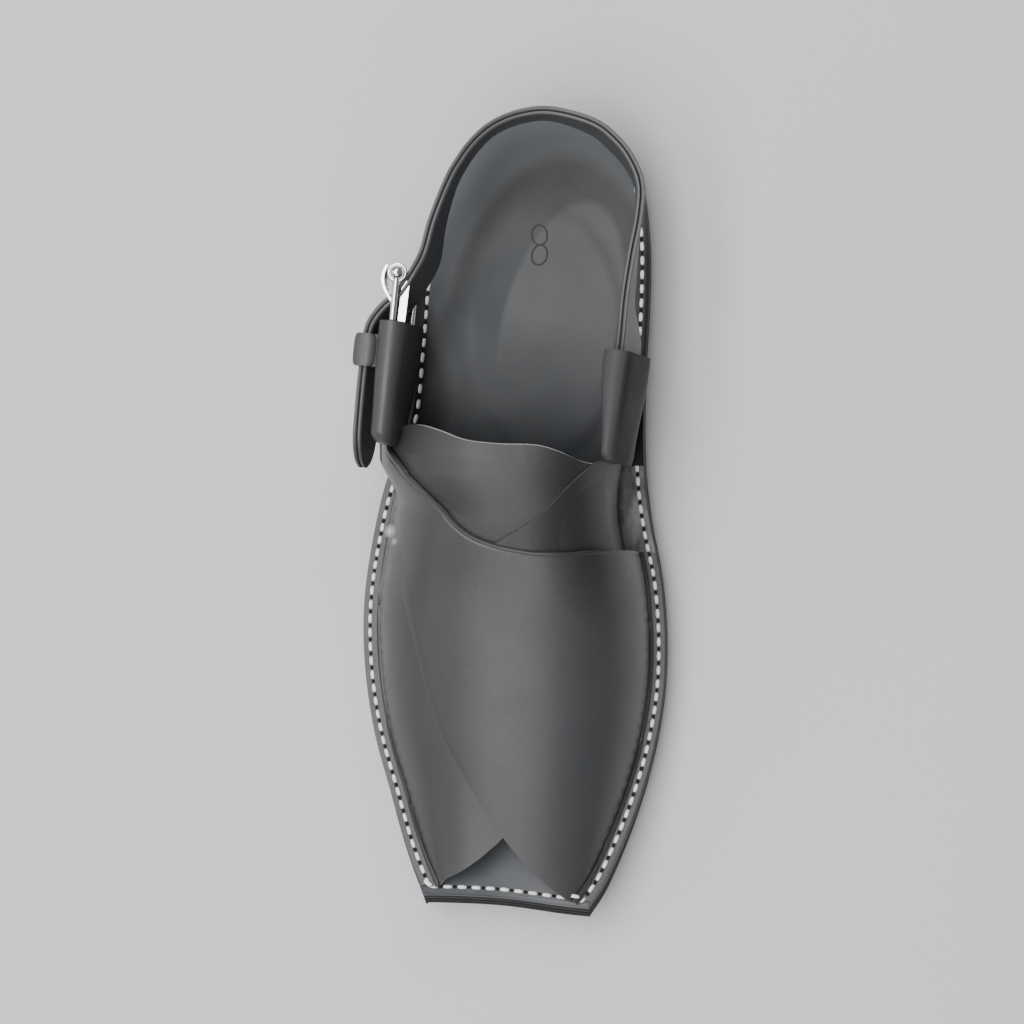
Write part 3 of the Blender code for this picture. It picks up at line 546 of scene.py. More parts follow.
def add_tones(made, rows):
    """Lays soft oval tones, placed on the plan, over a leather's own colours."""
    tree = made.node_tree
    shader = tree.nodes["Principled BSDF"]
    place = tree.nodes.new("ShaderNodeTexCoord")
    tone = shader.inputs["Base Color"].links[0].from_socket
    for middle, half, edge, angle, colour in rows:
        tone = layer_tone(tree, tone, oval_mask(tree, place, middle, half, edge, angle), colour)
    tree.links.new(tone, shader.inputs["Base Color"])


# Middle and half size of each oval, softness of its edge, turn, colour
INSOLE_PAINTED_LIGHT_AND_SHADE = (
    # painted shade and painted reflection round the heel
    ((0.014, 0.064), (0.0365, 0.061), 0.05, -0.10, (0.027, 0.025, 0.022)),
    ((0.008, 0.056), (0.0335, 0.055), 0.10, -0.14, (0.038, 0.038, 0.038)),
    ((0.000, 0.040), (0.0320, 0.056), 0.08, -0.20, (0.027, 0.031, 0.036)),
    ((0.0165, 0.066), (0.0200, 0.044), 0.04, -0.26, (0.058, 0.059, 0.060)),
    # painted shade across the waist
    ((0.006, 0.034), (0.0300, 0.026), 0.35, 0.0, (0.028, 0.031, 0.035)),
    # painted shadow of the outer loop's wing on the insole
    ((-0.033, 0.044), (0.0095, 0.0240), 0.30, 0.0, (0.006, 0.006, 0.006)),
    # painted light in the toe opening
    ((0.023, -0.126), (0.0240, 0.0170), 0.40, 0.0, (0.110, 0.114, 0.120)),
)


def insole_finish():
    """Polished insole leather, with ovals of painted shade, painted reflection and painted light over its
    colours.
    """
    tones = ((0.052, 0.057, 0.064), (0.060, 0.064, 0.070))
    made = leather_finish("insole_leather_finish", *tones, 0.46, 0.6, 0.0, 0.30)
    add_tones(made, INSOLE_PAINTED_LIGHT_AND_SHADE)
    return made


INSOLE_FINISH = insole_finish()
INSOLE_RINGS = (
    (0.0006, MIDSOLE_TOP + GAP),
    (0.0003, MIDSOLE_TOP + GAP + 0.0004),
    (0.0003, INSOLE_TOP - 0.0010),
    (0.0006, INSOLE_TOP - 0.0004),
    (0.0012, INSOLE_TOP - 0.0001),
    (0.0018, INSOLE_TOP),
)
BED = (None, insole_relief)
insole = capped_rings("insole_dressed", OUTLINE, INSOLE_RINGS, cap_grid, BED, INSOLE_FINISH)
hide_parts("insole")
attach(insole, "root")


def build_eight():
    """A generic 8 pressed into the heel bed: two ovals of a shallow rounded line, each a small circle
    carried round an ellipse, sunk so far that only its dark upper edge shows."""
    turn = np.linspace(0, 2 * math.pi, 61)[:, None]
    around = np.linspace(0, 2 * math.pi, 9)[None, :]
    rounds = []
    for side, lean in ((-1, 0.10), (1, -0.05)):
        off = EIGHT_LINE * np.cos(around)
        x = (EIGHT_RING[0] + off) * np.cos(turn)
        y = (EIGHT_RING[1] + off) * np.sin(turn)
        x, y = x + lean * y + EIGHT_AT[0] - SHIFT_X, y + EIGHT_AT[1] + side * EIGHT_RING[1] - SHIFT_Y
        level = INSOLE_TOP + insole_relief(x, y) + 0.00002 + 0.00022 * np.sin(around)
        rounds.append(bend(x, y, level))
    pressed = rubber_finish("pressed_line_finish", (0.024, 0.025, 0.026), 0.5)
    return join_grids("insole_eight", rounds, pressed)


eight = build_eight()
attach(eight, "root")

# The vamp is one skin of black leather drawn over a last and crossed at the toe: the inner panel
# lies over the outer one. Its foot is turned out flat on the insole, stitched down and trimmed
# with the sole. The shape is the last's, worked out from length, ball width and instep height.

INSTEP_HEIGHT = 0.055
LEATHER = 0.0018

# The last's sections: share of the length; outer and inner foot as shares of the ball width; height
# as a share of the instep; the crown's place between the feet; the power of its superellipse
LAST_TABLE = (
    (0.00, -0.225, 0.200, 0.055, 0.52, 2.00), (0.04, -0.268, 0.268, 0.164, 0.52, 2.00),
    (0.10, -0.318, 0.338, 0.345, 0.53, 2.05), (0.20, -0.393, 0.417, 0.545, 0.55, 2.15),
    (0.32, -0.442, 0.457, 0.709, 0.56, 2.25), (0.42, -0.437, 0.445, 0.855, 0.56, 2.35),
    (0.50, -0.402, 0.408, 0.936, 0.56, 2.50), (0.56, -0.392, 0.391, 1.000, 0.56, 2.60),
    (0.66, -0.399, 0.391, 1.036, 0.55, 2.70),
)

# The turned-out foot: how far it stops inside the sole's edge, its least width along the vamp and
# behind it, how far the inner ear stands in, and how far the outer ear leans out over the edge
FLANGE_TRIM = 0.0007
FLANGE_LEAST = 0.0080
REAR_LEAST = 0.0054
INNER_TUCK = 0.0040
OVERHANG = 0.0120

# Edges of the panels on the last: share of the length, share of the way round from the outer foot
FREE_EDGE = (
    (0.470, 0.000), (0.450, 0.110), (0.410, 0.190), (0.360, 0.240), (0.312, 0.268),
    (0.271, 0.284), (0.239, 0.299), (0.199, 0.322), (0.147, 0.365), (0.105, 0.421),
    (0.083, 0.459), (0.065, 0.501), (0.045, 0.571), (0.026, 0.685), (0.014, 0.831),
    (0.011, 1.000),
)
VAMP_REAR = (
    (0.602, 0.000), (0.606, 0.057), (0.605, 0.116), (0.585, 0.229), (0.554, 0.303),
    (0.529, 0.355), (0.507, 0.410), (0.494, 0.455), (0.486, 0.489), (0.480, 0.518),
    (0.478, 0.566), (0.476, 0.622), (0.477, 0.688), (0.473, 0.773), (0.466, 0.880),
    (0.457, 1.000),
)
OUTER_FRONT = (
    (0.030, 0.000), (0.032, 0.066), (0.042, 0.244), (0.055, 0.348), (0.070, 0.417),
    (0.083, 0.459), (0.120, 0.560), (0.170, 0.680), (0.200, 0.760),
)


def smooth_column(at, column):
    """One column of the last's table along the length, averaged over a bell of 4% of the length."""
    table = np.array(LAST_TABLE)
    share, value = table[:, 0], table[:, column]
    first = (value[1] - value[0]) / (share[1] - share[0])
    final = (value[-1] - value[-2]) / (share[-1] - share[-2])
    fine = np.linspace(-0.2, 0.86, 1061)
    drawn = np.interp(fine, share, value)
    drawn = drawn + first * np.minimum(fine - share[0], 0) + final * np.maximum(fine - share[-1], 0)
    reach = np.linspace(-0.12, 0.12, 241)
    weights = np.exp(-((reach / EASE_SPAN) ** 2) / 2)
    return np.interp(at, fine[120:-120], np.convolve(drawn, weights / weights.sum(), "valid"))


def eased(value, low, high):
    """Smoothstep: nothing below a low value, one above a high one, a cubic between them."""
    u = np.clip((value - low) / (high - low), 0, 1)
    return u * u * (3 - 2 * u)


def over_last(t, s, tuck=0.0):
    """The last: at share t of the length an arch of superellipse quarters from the outer foot (s=0)
    over the crown to the inner foot (s=1); below 0 and above 1 the leather runs flat to the edge."""
    outer = smooth_column(t, 1) * BALL_WIDTH
    inner = smooth_column(t, 2) * BALL_WIDTH
    y = TOE_Y + t * SOLE_LENGTH
    least = FLANGE_LEAST + (REAR_LEAST - FLANGE_LEAST) * eased(t, 0.56, 0.63)
    outer = np.maximum(outer, side_x(OUTER_EDGE, y) + FLANGE_LEAST - OVERHANG * eased(t, 0.53, 0.60))
    inner = np.minimum(inner, side_x(INNER_EDGE, y) - least) - tuck * (1 - eased(t, 0.50, 0.61))
    middle = outer + (inner - outer) * smooth_column(t, 4)
    power = 2 / smooth_column(t, 5)
    angle = np.clip(s, 0, 1) * math.pi
    cosine, sine = np.cos(angle), np.sin(angle)
    half = np.where(cosine > 0, middle - outer, inner - middle)
    x = middle - np.sign(cosine) * half * np.abs(cosine) ** power
    height = INSOLE_TOP + GAP + smooth_column(t, 3) * INSTEP_HEIGHT * np.abs(sine) ** power
    edge_outer = np.minimum(side_x(OUTER_EDGE, y) + FLANGE_TRIM, outer - 0.0005)
    edge_inner = np.maximum(side_x(INNER_EDGE, y) - FLANGE_TRIM, inner + 0.0005)
    x = np.where(s < 0, outer + (edge_outer - outer) * -s, x)
    x = np.where(s > 1, inner + (edge_inner - inner) * (s - 1), x)
    return x, y, height


def edge_share(rows, s):
    """A panel's edge as a share of the length for each share round the last, along its spline."""
    line = spline(rows, 12)
    order = np.argsort(line[:, 1])
    return np.interp(np.clip(s, 0, 1), line[order, 1], line[order, 0])


def round_shares(first, final, count, outer_flange, inner_flange):
    """Shares round the last for a panel's columns, closest together where the foot turns out."""
    u = np.linspace(0, 1, count)
    s = first + (final - first) * u
    if first <= 0:
        s = np.where(s < 0.10, 0.10 * (s / 0.10) ** 2, s)
        if outer_flange:
            s = np.concatenate([np.linspace(-1, -0.04, 16), s])
    if final >= 1:
        s = np.where(s > 0.90, 1 - 0.10 * ((1 - s) / 0.10) ** 2, s)
        if inner_flange:
            s = np.concatenate([s, np.linspace(1.04, 2, 16)])
    return s


def along_shares(count, front_close, rear_close):
    """Shares from a panel's front edge to its rear edge, with rows gathered near a finished edge."""
    u = np.linspace(0, 1, count)
    near = np.array([0.0008, 0.002, 0.0035, 0.005, 0.0065, 0.008, 0.0095, 0.011, 0.013, 0.016, 0.02, 0.026])
    extra = [u]
    if front_close:
        extra.append(near)
    if rear_close:
        extra.append(1 - near)
    return np.unique(np.concatenate(extra).round(6))


def soften(grid, s, passes):
    """Rounds the turn between the flat foot and the wall: repeated means with the two neighbours."""
    foot = bell(np.minimum(np.abs(s), np.abs(s - 1)), 0.05)
    foot = np.maximum(foot, np.where((s < 0) & (s > -0.5), 1.0, 0.0))
    foot = np.maximum(foot, np.where((s > 1) & (s < 1.5), 1.0, 0.0))[None, 1:-1, None]
    for _ in range(passes):
        mean = 0.25 * (grid[:, :-2] + grid[:, 2:]) + 0.5 * grid[:, 1:-1]
        grid[:, 1:-1] += foot * (mean - grid[:, 1:-1])
    return grid


def grid_normals(grid):
    """Outward normals of a grid that runs toe to heel and outer side to inner side."""
    along = np.gradient(grid, axis=0)
    around = np.gradient(grid, axis=1)
    normal = np.cross(around, along)
    normal /= np.linalg.norm(normal, axis=2, keepdims=True) + 1e-12
    return normal


def skin(name, outer, finish, thickness, rounding, rim=None):
    """A leather panel from the grid of its outer face: walled inwards, with its cut edges rounded."""
    rows, columns = outer.shape[:2]
    made = add_mesh(name, outer.reshape(-1, 3), grid_faces(rows, columns), finish, check=False)
    wall = made.modifiers.new("wall", "SOLIDIFY")
    wall.thickness = thickness
    wall.offset = -1.0
    wall.use_even_offset = False
    if rim is not None:
        made.data.materials.append(rim)
        wall.material_offset_rim = 1
    edge = made.modifiers.new("edge", "BEVEL")
    edge.width = rounding
    edge.segments = 3
    edge.limit_method = "ANGLE"
    edge.angle_limit = math.radians(55)
    return made


VAMP_COLOURS = ((0.042, 0.040, 0.038), (0.038, 0.041, 0.045))
EAR_COLOURS = ((0.036, 0.034, 0.032), (0.028, 0.030, 0.033))
CUT_COLOURS = ((0.050, 0.051, 0.052), (0.075, 0.076, 0.078))
# Pale colour for the outer ear's rounded cut edge: a painted highlight along it
EDGE_HIGHLIGHT_COLOURS = ((0.480, 0.480, 0.470), (0.640, 0.640, 0.630))
VAMP_LEATHER = leather_finish("vamp_leather_finish", *VAMP_COLOURS, 0.44, 1.0, 0.12)
EAR_LEATHER = leather_finish("ear_leather_finish", *EAR_COLOURS, 0.50, 1.0, 0.06)
CUT_EDGE = leather_finish("cut_edge_finish", *CUT_COLOURS, 0.40, 1.4)
PAINTED_EDGE_HIGHLIGHT = leather_finish("painted_edge_highlight_finish", *EDGE_HIGHLIGHT_COLOURS, 0.50, 1.4, 0.0)

# Painted shade on the inner side, turned from the light, and a pale smudge of glue near the outer stitches
VAMP_SHADE_AND_SMUDGE = (
    ((0.0341, -0.0005), (0.0160, 0.0300), 0.50, 0.0, (0.015, 0.015, 0.016)),
    ((-0.0428, -0.0066), (0.0022, 0.0019), 0.55, 0.0, (0.420, 0.420, 0.415)),
    ((-0.0402, -0.0104), (0.0010, 0.0009), 0.60, 0.0, (0.300, 0.300, 0.295)),
)
# Painted shade on the inner ear, turned from the light
EAR_PAINTED_SHADE = (((0.036, -0.002), (0.0330, 0.0420), 0.60, 0.0, (0.014, 0.015, 0.016)),)


add_tones(VAMP_LEATHER, VAMP_SHADE_AND_SMUDGE)
add_tones(EAR_LEATHER, EAR_PAINTED_SHADE)


def panel_grid(front, rear, s, u, lift, tuck=0.0):
    """A panel's outer face: rows at shares from its front edge to its rear edge, lifted off the last."""
    start, end = edge_share(front, s)[None, :], edge_share(rear, s)[None, :]
    t = start + (end - start) * u[:, None]
    wide = np.broadcast_to(s[None, :], t.shape)
    x, y, height = over_last(t, wide, tuck)
    grid = soften(bend(x, y, height), s, 16)
    from_front, from_rear = u[:, None] * (end - start), (1 - u[:, None]) * (end - start)
    return grid + grid_normals(grid) * lift(t, wide, from_front, from_rear)[..., None]


def vamp_lift(t, s, from_front, from_rear):
    """Height of the inner panel's face over the last: its own wall, thinned where the free edge dies
    away, with a pressed line beside the rear edge and soft pull marks."""
    near = np.exp(-from_front * SOLE_LENGTH / 0.004)
    lift = LEATHER - 0.0009 * fade(s - 0.27, 0.035) * near
    line = bell(from_rear * SOLE_LENGTH - 0.0016, 0.00035)
    lift = lift - 0.00022 * line * (s > 0.02) * (s < 0.98)
    pull = 0.0004 * bell(t - 0.52 + 0.35 * s, 0.035) * bell(s - 0.16, 0.09)
    waist = 0.0005 * bell(t - 0.40 - 0.15 * (s - 0.7), 0.03) * bell(s - 0.82, 0.10)
    return lift - pull - waist


def outer_lift(t, s, from_front, from_rear):
    """Height of the outer panel's face: just under the inner panel's face, closer where it fades."""
    return LEATHER - 0.0003 - 0.0009 * fade(0.36 - s, 0.03) + 0 * t


inner_s = round_shares(0.0, 1.0, 150, True, True)
inner_face = panel_grid(FREE_EDGE, VAMP_REAR, inner_s, along_shares(130, True, True), vamp_lift)
vamp_inner_panel = skin("vamp_inner_panel", inner_face, VAMP_LEATHER, LEATHER - 0.0002, 0.00045, CUT_EDGE)
outer_s = round_shares(0.0, 0.72, 120, True, False)
outer_rows = 0.93 * along_shares(120, True, False)
outer_face = panel_grid(OUTER_FRONT, VAMP_REAR, outer_s, outer_rows, outer_lift)
vamp_outer_panel = skin("vamp_outer_panel", outer_face, VAMP_LEATHER, LEATHER - 0.0005, 0.0004, CUT_EDGE)

# Behind the vamp two ears cross over the instep: the inner ear's free edge runs down over the
# outer ear. They are cut from the same leather, sewn under the vamp's rear edge, and carry on
# into the loops at each side.

EAR_REAR = (
    (0.590, 0.000), (0.604, 0.060), (0.618, 0.125), (0.627, 0.200), (0.629, 0.270),
    (0.625, 0.340), (0.6175, 0.410), (0.614, 0.475), (0.612, 0.540), (0.604, 0.610),
    (0.594, 0.680), (0.588, 0.760), (0.586, 0.860),
)
DIAGONAL = (
    (0.460, 0.400), (0.478, 0.440), (0.495, 0.477), (0.509, 0.499), (0.524, 0.526),
    (0.541, 0.569), (0.560, 0.618), (0.576, 0.667), (0.588, 0.712), (0.592, 0.760),
    (0.592, 0.860), (0.590, 1.000),
)
UNDER_VAMP = (
    (0.560, 0.000), (0.560, 0.060), (0.540, 0.229), (0.480, 0.355), (0.440, 0.489),
    (0.435, 0.700), (0.430, 1.000),
)
UNDER_INNER = (
    (0.450, 0.400), (0.448, 0.440), (0.446, 0.477), (0.444, 0.560), (0.440, 0.700),
    (0.436, 0.860), (0.430, 1.000),
)


def outer_ear_lift(t, s, from_front, from_rear):
    """Height of the outer ear's face, rising towards its loop, with one soft fold below the loop."""
    fold = 0.0006 * bell(t - 0.585 + 0.10 * (s - 0.2), 0.012) * bell(s - 0.17, 0.06)
    return -0.0003 - fold + 0.0004 * np.exp(-(from_rear * SOLE_LENGTH / 0.006))


def inner_ear_lift(t, s, from_front, from_rear):
    """Height of the inner ear's face: over the outer ear, below the vamp."""
    return 0.0008 + 0 * t


outer_ear_s = np.linspace(0.02, 0.80, 150)
outer_ear_face = panel_grid(UNDER_VAMP, EAR_REAR, outer_ear_s, along_shares(60, False, True), outer_ear_lift)
outer_ear = skin("outer_ear", outer_ear_face, EAR_LEATHER, 0.0014, 0.00040, PAINTED_EDGE_HIGHLIGHT)
# The rounded cut edge takes the painted highlight
outer_ear.modifiers["edge"].material = 1
inner_ear_s = round_shares(0.42, 1.0, 90, False, False)
ear_rows = along_shares(60, False, True)
inner_ear_face = panel_grid(UNDER_INNER, DIAGONAL, inner_ear_s, ear_rows, inner_ear_lift, INNER_TUCK)
inner_ear = skin("inner_ear", inner_ear_face, EAR_LEATHER, 0.0012, 0.00040, CUT_EDGE)


def scuffed_finish():
    """The bare foot of the inner ear, left undressed: grey nap with rubbed streaks and blotches."""
    made, tree, shader = new_finish("scuffed_foot_finish", (0.12, 0.12, 0.12), 0.62)
    rub = object_noise(tree, 90.0, 8.0, stretch=(2.2, 1.0, 1.0))
    colours = tint(tree, rub.outputs["Fac"], (0.040, 0.041, 0.043), (0.200, 0.196, 0.190), 0.38, 0.66)
    tree.links.new(colours, shader.inputs["Base Color"])
    add_bump(tree, shader, rub.outputs["Fac"], 0.5, 0.0006)
    return made


SCUFFED = scuffed_finish()


def build_inner_foot():
    """The ear's foot turned out flat: the last's own rows beyond its inner foot, out to the sole's edge."""
    t = np.linspace(0.448, 0.640, 70)[:, None]
    s = np.linspace(0.96, 2.0, 40)[None, :]
    wide, long = np.broadcast_arrays(s, t)
    x, y, height = over_last(long, np.maximum(wide, 1.0), INNER_TUCK)
    wave = 0.00012 * np.sin(y / 0.004) * np.sin(x / 0.0023)
    grid = bend(x - (wide < 1.0) * 0.001, y, height + 0.0010 + wave)
    return skin("inner_ear_foot", grid, SCUFFED, 0.0009, 0.0002)


inner_ear_foot = build_inner_foot()

# At each side the ear's leather rises from the sole as a wing, folds over a former and comes back
# down, so that it makes a loop. The outer loop holds the buckle, the inner one the strap's end.

STRAP_HEIGHT = 0.0190
STRAP_THICK = 0.0030
LOOP_RISE = 0.0305
FRAME_WIRE = 0.0011
FRAME_CLEAR = 0.0007
FRAME_HALF = STRAP_HEIGHT / 2 + FRAME_CLEAR + FRAME_WIRE
LOOP_SIDE_CLEAR = 0.0016
LOOP_END_CLEAR = 0.0008
LOOP_WIDTH = STRAP_THICK + 2 * (LOOP_SIDE_CLEAR + LEATHER)
LOOP_HEIGHT = 2 * (FRAME_HALF + FRAME_WIRE + LOOP_END_CLEAR + LEATHER)
OUTER_LEAN = math.radians(-12.0)
INNER_LEAN = math.radians(-18.0)
OUTER_LOOP = (
    (0.5667, -0.3716, 1.10),
    (0.6246, -0.3541, 1.06),
    (0.7249, -0.3275, 1.01),
)
INNER_LOOP = (
    (0.5368, 0.3229, 1.105),
    (0.6140, 0.3514, 1.010),
    (0.6891, 0.3780, 0.955),
)
OUTER_FOOT = (
    (0.5228, -0.3670, 0.020),
    (0.5649, -0.3688, 0.033),
    (0.6000, -0.3532, 0.200),
    (0.6491, -0.3211, 0.295),
    (0.7193, -0.3046, 0.360),
)
INNER_FOOT = (
    (0.5088, 0.3680, 0.020),
    (0.5509, 0.3700, 0.020),
    (0.6140, 0.3835, 0.020),
    (0.6891, 0.3927, 0.020),
)


def loop_axis(rows, steps=24):
    """Middle line of a loop, from its front end to its rear end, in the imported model's frame."""
    along, across, height = spline(rows, steps).T
    y = TOE_Y + along * SOLE_LENGTH
    z = rise_at(y) + INSOLE_TOP + height * LOOP_RISE
    return np.column_stack([across * BALL_WIDTH + SHIFT_X, y + SHIFT_Y, z])


def path_sides(points):
    """Level direction square to a path at each of its points."""
    tangent = np.gradient(points, axis=0)
    tangent[:, 2] = 0
    tangent /= np.linalg.norm(tangent, axis=1, keepdims=True)
    return np.column_stack([tangent[:, 1], -tangent[:, 0], np.zeros(len(points))])


def wing_profile(width, height, reach):
    """Middle line of the folded leather in the loop's own plane: up the outside, over the top,
    down the inside and back under; across grows outwards, and the start is where the wall joins."""
    w, h = width / 2, height / 2
    outside = np.column_stack([np.full(14, w), np.linspace(-h + w * 1.2, h - w, 14)])
    arc = np.linspace(0, math.pi, 20)[1:-1]
    top = np.column_stack([w * np.cos(arc), h - w + w * np.sin(arc)])
    inside = np.column_stack([np.full(14, -w), np.linspace(h - w, -h + w, 14)])
    under = np.linspace(math.pi, 2 * math.pi - reach, 16)[1:]
    bottom = np.column_stack([w * np.cos(under), -h + w + w * np.sin(under)])
    return np.vstack([outside, top, inside, bottom])


# Stations left off at a loop's front end, where it runs into the ear
LOOP_TRIM = 9
DOME_REACH = 0.0035
PINCH_REACH = 0.034


def wing(name, loop_rows, foot_rows, lean, out, pinch, shift, finish):
    """The wing and its loop as one skin: at each station the wall runs from the foot in a Hermite
    curve up to the loop's outside, then follows the loop's profile. The front end closes as a dome,
    and narrows to the pinch, a share of the loop's width, shifted by a share of it."""
    axis = loop_axis(loop_rows, 30)[LOOP_TRIM:]
    side = path_sides(axis)
    reach = np.concatenate([[0], np.cumsum(np.linalg.norm(np.diff(axis, axis=0), axis=1))])
    dome = np.sqrt(np.clip(1 - np.clip(1 - reach / DOME_REACH, 0, 1) ** 2, 0.0, 1))
    dome = 0.35 + 0.65 * dome
    pressed = pinch + (1 - pinch) * eased(reach, 0.0, PINCH_REACH)
    ring = wing_profile(LOOP_WIDTH - LEATHER, LOOP_HEIGHT - LEATHER, 0.9)
    rx = ring[None, :, 0] * out * (dome * pressed)[:, None]
    rx = rx + out * (1 - pressed[:, None]) * LOOP_WIDTH * shift
    ry = ring[None, :, 1] * dome[:, None] + (1 - dome[:, None]) * 0.002
    ry = np.where(ry < 0, ry * (0.35 + 0.65 * eased(reach, 0.0, 0.030))[:, None], ry)
    across = rx * math.cos(lean) + ry * math.sin(lean)
    up = ry * math.cos(lean) - rx * math.sin(lean)
    loop = axis[:, None] + across[..., None] * side[:, None] + up[..., None] * np.array([0, 0, 1.0])
    feet = np.array(foot_rows)
    share = (axis[:, 1] - SHIFT_Y - TOE_Y) / SOLE_LENGTH
    foot_x = np.interp(share, feet[:, 0], feet[:, 1]) * BALL_WIDTH + SHIFT_X
    foot_z = rise_at(axis[:, 1] - SHIFT_Y) + INSOLE_TOP + GAP
    foot_z = foot_z + np.interp(share, feet[:, 0], feet[:, 2]) * LOOP_RISE
    foot = np.column_stack([foot_x, axis[:, 1], foot_z])
    join = loop[:, 0]
    rise = np.linalg.norm(join - foot, axis=1)[:, None]
    start_way = np.array([[0.15 * out, 0, 1.0]]) * rise * 0.9
    end_way = loop[:, 1] - loop[:, 0]
    end_way = end_way / (np.linalg.norm(end_way, axis=1, keepdims=True) + 1e-9) * rise * 0.9
    u = np.linspace(0, 1, 26)[None, :-1, None]
    wall = (2 * u**3 - 3 * u**2 + 1) * foot[:, None] + (u**3 - 2 * u**2 + u) * start_way[:, None]
    wall = wall + (3 * u**2 - 2 * u**3) * join[:, None] + (u**3 - u**2) * end_way[:, None]
    parts = [wall, loop]
    if out > 0:
        edge_x = side_x(INNER_EDGE, axis[:, 1] - SHIFT_Y) - FLANGE_TRIM + SHIFT_X
        turned = np.column_stack([edge_x, axis[:, 1], foot_z + LEATHER / 2])
        v = np.linspace(0, 1, 11)[None, :-1, None]
        parts.insert(0, turned[:, None] * (1 - v) + (foot[:, None] + [0, 0, LEATHER / 2]) * v)
    grid = np.concatenate(parts, axis=1)
    for _ in range(10):
        grid[:, 1:-1] = 0.25 * (grid[:, :-2] + grid[:, 2:]) + 0.5 * grid[:, 1:-1]
    normal = np.cross(np.gradient(grid, axis=1), np.gradient(grid, axis=0)) * -out
    normal /= np.linalg.norm(normal, axis=2, keepdims=True) + 1e-12
    outer = grid + normal * LEATHER / 2
    if out > 0:
        outer = outer[:, ::-1]
    return skin(name, outer, finish, LEATHER, 0.00045, CUT_EDGE)


def paint_low_shade(made, high, low):
    """Darkens a leather below a height: painted shade on the lower walls of the wings, which turn from the
    light.
    """
    tree = made.node_tree
    shader = tree.nodes["Principled BSDF"]
    place = tree.nodes.new("ShaderNodeTexCoord")
    split = tree.nodes.new("ShaderNodeSeparateXYZ")
    tree.links.new(place.outputs["Object"], split.inputs["Vector"])
    mask = spread(tree, split.outputs["Z"], 1.0, 0.0, low, high)
    below = shader.inputs["Base Color"].links[0].from_socket
    tone = layer_tone(tree, below, mask, (0.006, 0.006, 0.006))
    tree.links.new(tone, shader.inputs["Base Color"])


# The loops are the ears' leather in a lighter colour, which paints the highlight along their ridges; their
# low walls get painted shade, and the inner loop's outer wall an oval of painted shade.
LOOP_COLOURS = ((0.046, 0.045, 0.044), (0.048, 0.050, 0.053))
FLANK_COLOURS = ((0.062, 0.062, 0.062), (0.066, 0.068, 0.071))
FLANK_PAINTED_SHADE = (((0.0676, 0.0278), (0.0300, 0.2000), 0.035, -0.143, (0.006, 0.006, 0.006)),)
LOOP_LEATHER = leather_finish("loop_leather_finish", *LOOP_COLOURS, 0.46, 1.0, 0.08)
FLANK_LEATHER = leather_finish("loop_flank_leather_finish", *FLANK_COLOURS, 0.46, 1.0, 0.0, 0.10)
for leather in (LOOP_LEATHER, FLANK_LEATHER):
    paint_low_shade(leather, 0.064, 0.046)
add_tones(FLANK_LEATHER, FLANK_PAINTED_SHADE)
outer_loop = wing("outer_loop", OUTER_LOOP, OUTER_FOOT, OUTER_LEAN, -1, 0.80, -0.08, LOOP_LEATHER)
inner_loop = wing("inner_loop", INNER_LOOP, INNER_FOOT, INNER_LEAN, 1, 0.42, 0.30, FLANK_LEATHER)

PANELS = (vamp_inner_panel, vamp_outer_panel, inner_ear_foot)
for piece in (*PANELS, outer_ear, inner_ear, outer_loop, inner_loop):
    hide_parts("upper")
    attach(piece, "root")

# One row of thick white waxed thread runs right round, 3 mm inside the trimmed edge. Each stitch
# sinks into its two holes, and a low dark boss of painted shade marks each hole between the stitches.

STITCH_INSET = 0.0030
STITCH_PITCH = 0.00497
STITCH_LENGTH = 0.0037
STITCH_WIDTH = 0.00135
STITCH_HIGH = 0.00085


def thread_finish():
    """Waxed cotton thread, off-white, with a fine noise bump for its fibres."""
    made, tree, shader = new_finish("thread_finish", (0.80, 0.79, 0.76), 0.62, Sheen_Weight=0.3)
    soil = object_noise(tree, 240.0, 4.0)
    colours = tint(tree, soil.outputs["Fac"], (0.86, 0.85, 0.82), (0.98, 0.98, 0.97))
    tree.links.new(colours, shader.inputs["Base Color"])
    fibre = object_noise(tree, 2600.0, 3.0)
    add_bump(tree, shader, fibre.outputs["Fac"], 0.5, 0.0002)
    return made


def stitch_line():
    """The stitch path: the sole's outline inset, as equal pitches, with the way along it."""
    line = inset(OUTLINE, STITCH_INSET)
    line = np.vstack([line, line[:1]])
    total = np.linalg.norm(np.diff(line, axis=0), axis=1).sum()
    count = int(round(total / STITCH_PITCH))
    points = resample(line, count + 1)[:-1]
    way = np.roll(points, -1, axis=0) - np.roll(points, 1, axis=0)
    return points, way / np.linalg.norm(way, axis=1, keepdims=True)


def leather_top(points):
    """Height of the leather under each plan point, found by a ray down on the panels and insole."""
    graph = bpy.context.evaluated_depsgraph_get()
    carriers = [one.evaluated_get(graph) for one in (*PANELS, insole)]
    flat = bend(points[:, 0], points[:, 1], INSOLE_TOP)
    heights = []
    for x, y, low in flat:
        hits = [one.ray_cast(Vector((x, y, low + 0.004)), Vector((0, 0, -1))) for one in carriers]
        heights.append(max([hit[1].z for hit in hits if hit[0]], default=low) - low)
    return INSOLE_TOP + np.array(heights)


def set_on_seam(points, way, along, across, raised):
    """Small shapes set on the leather at points of the seam, spread along it, across it and up."""
    base = leather_top(points)
    square = np.column_stack([-way[:, 1], way[:, 0]])
    x = points[:, 0, None, None] + along * way[:, 0, None, None] + across * square[:, 0, None, None]
    y = points[:, 1, None, None] + along * way[:, 1, None, None] + across * square[:, 1, None, None]
    return bend(x, y, base[:, None, None] + raised)


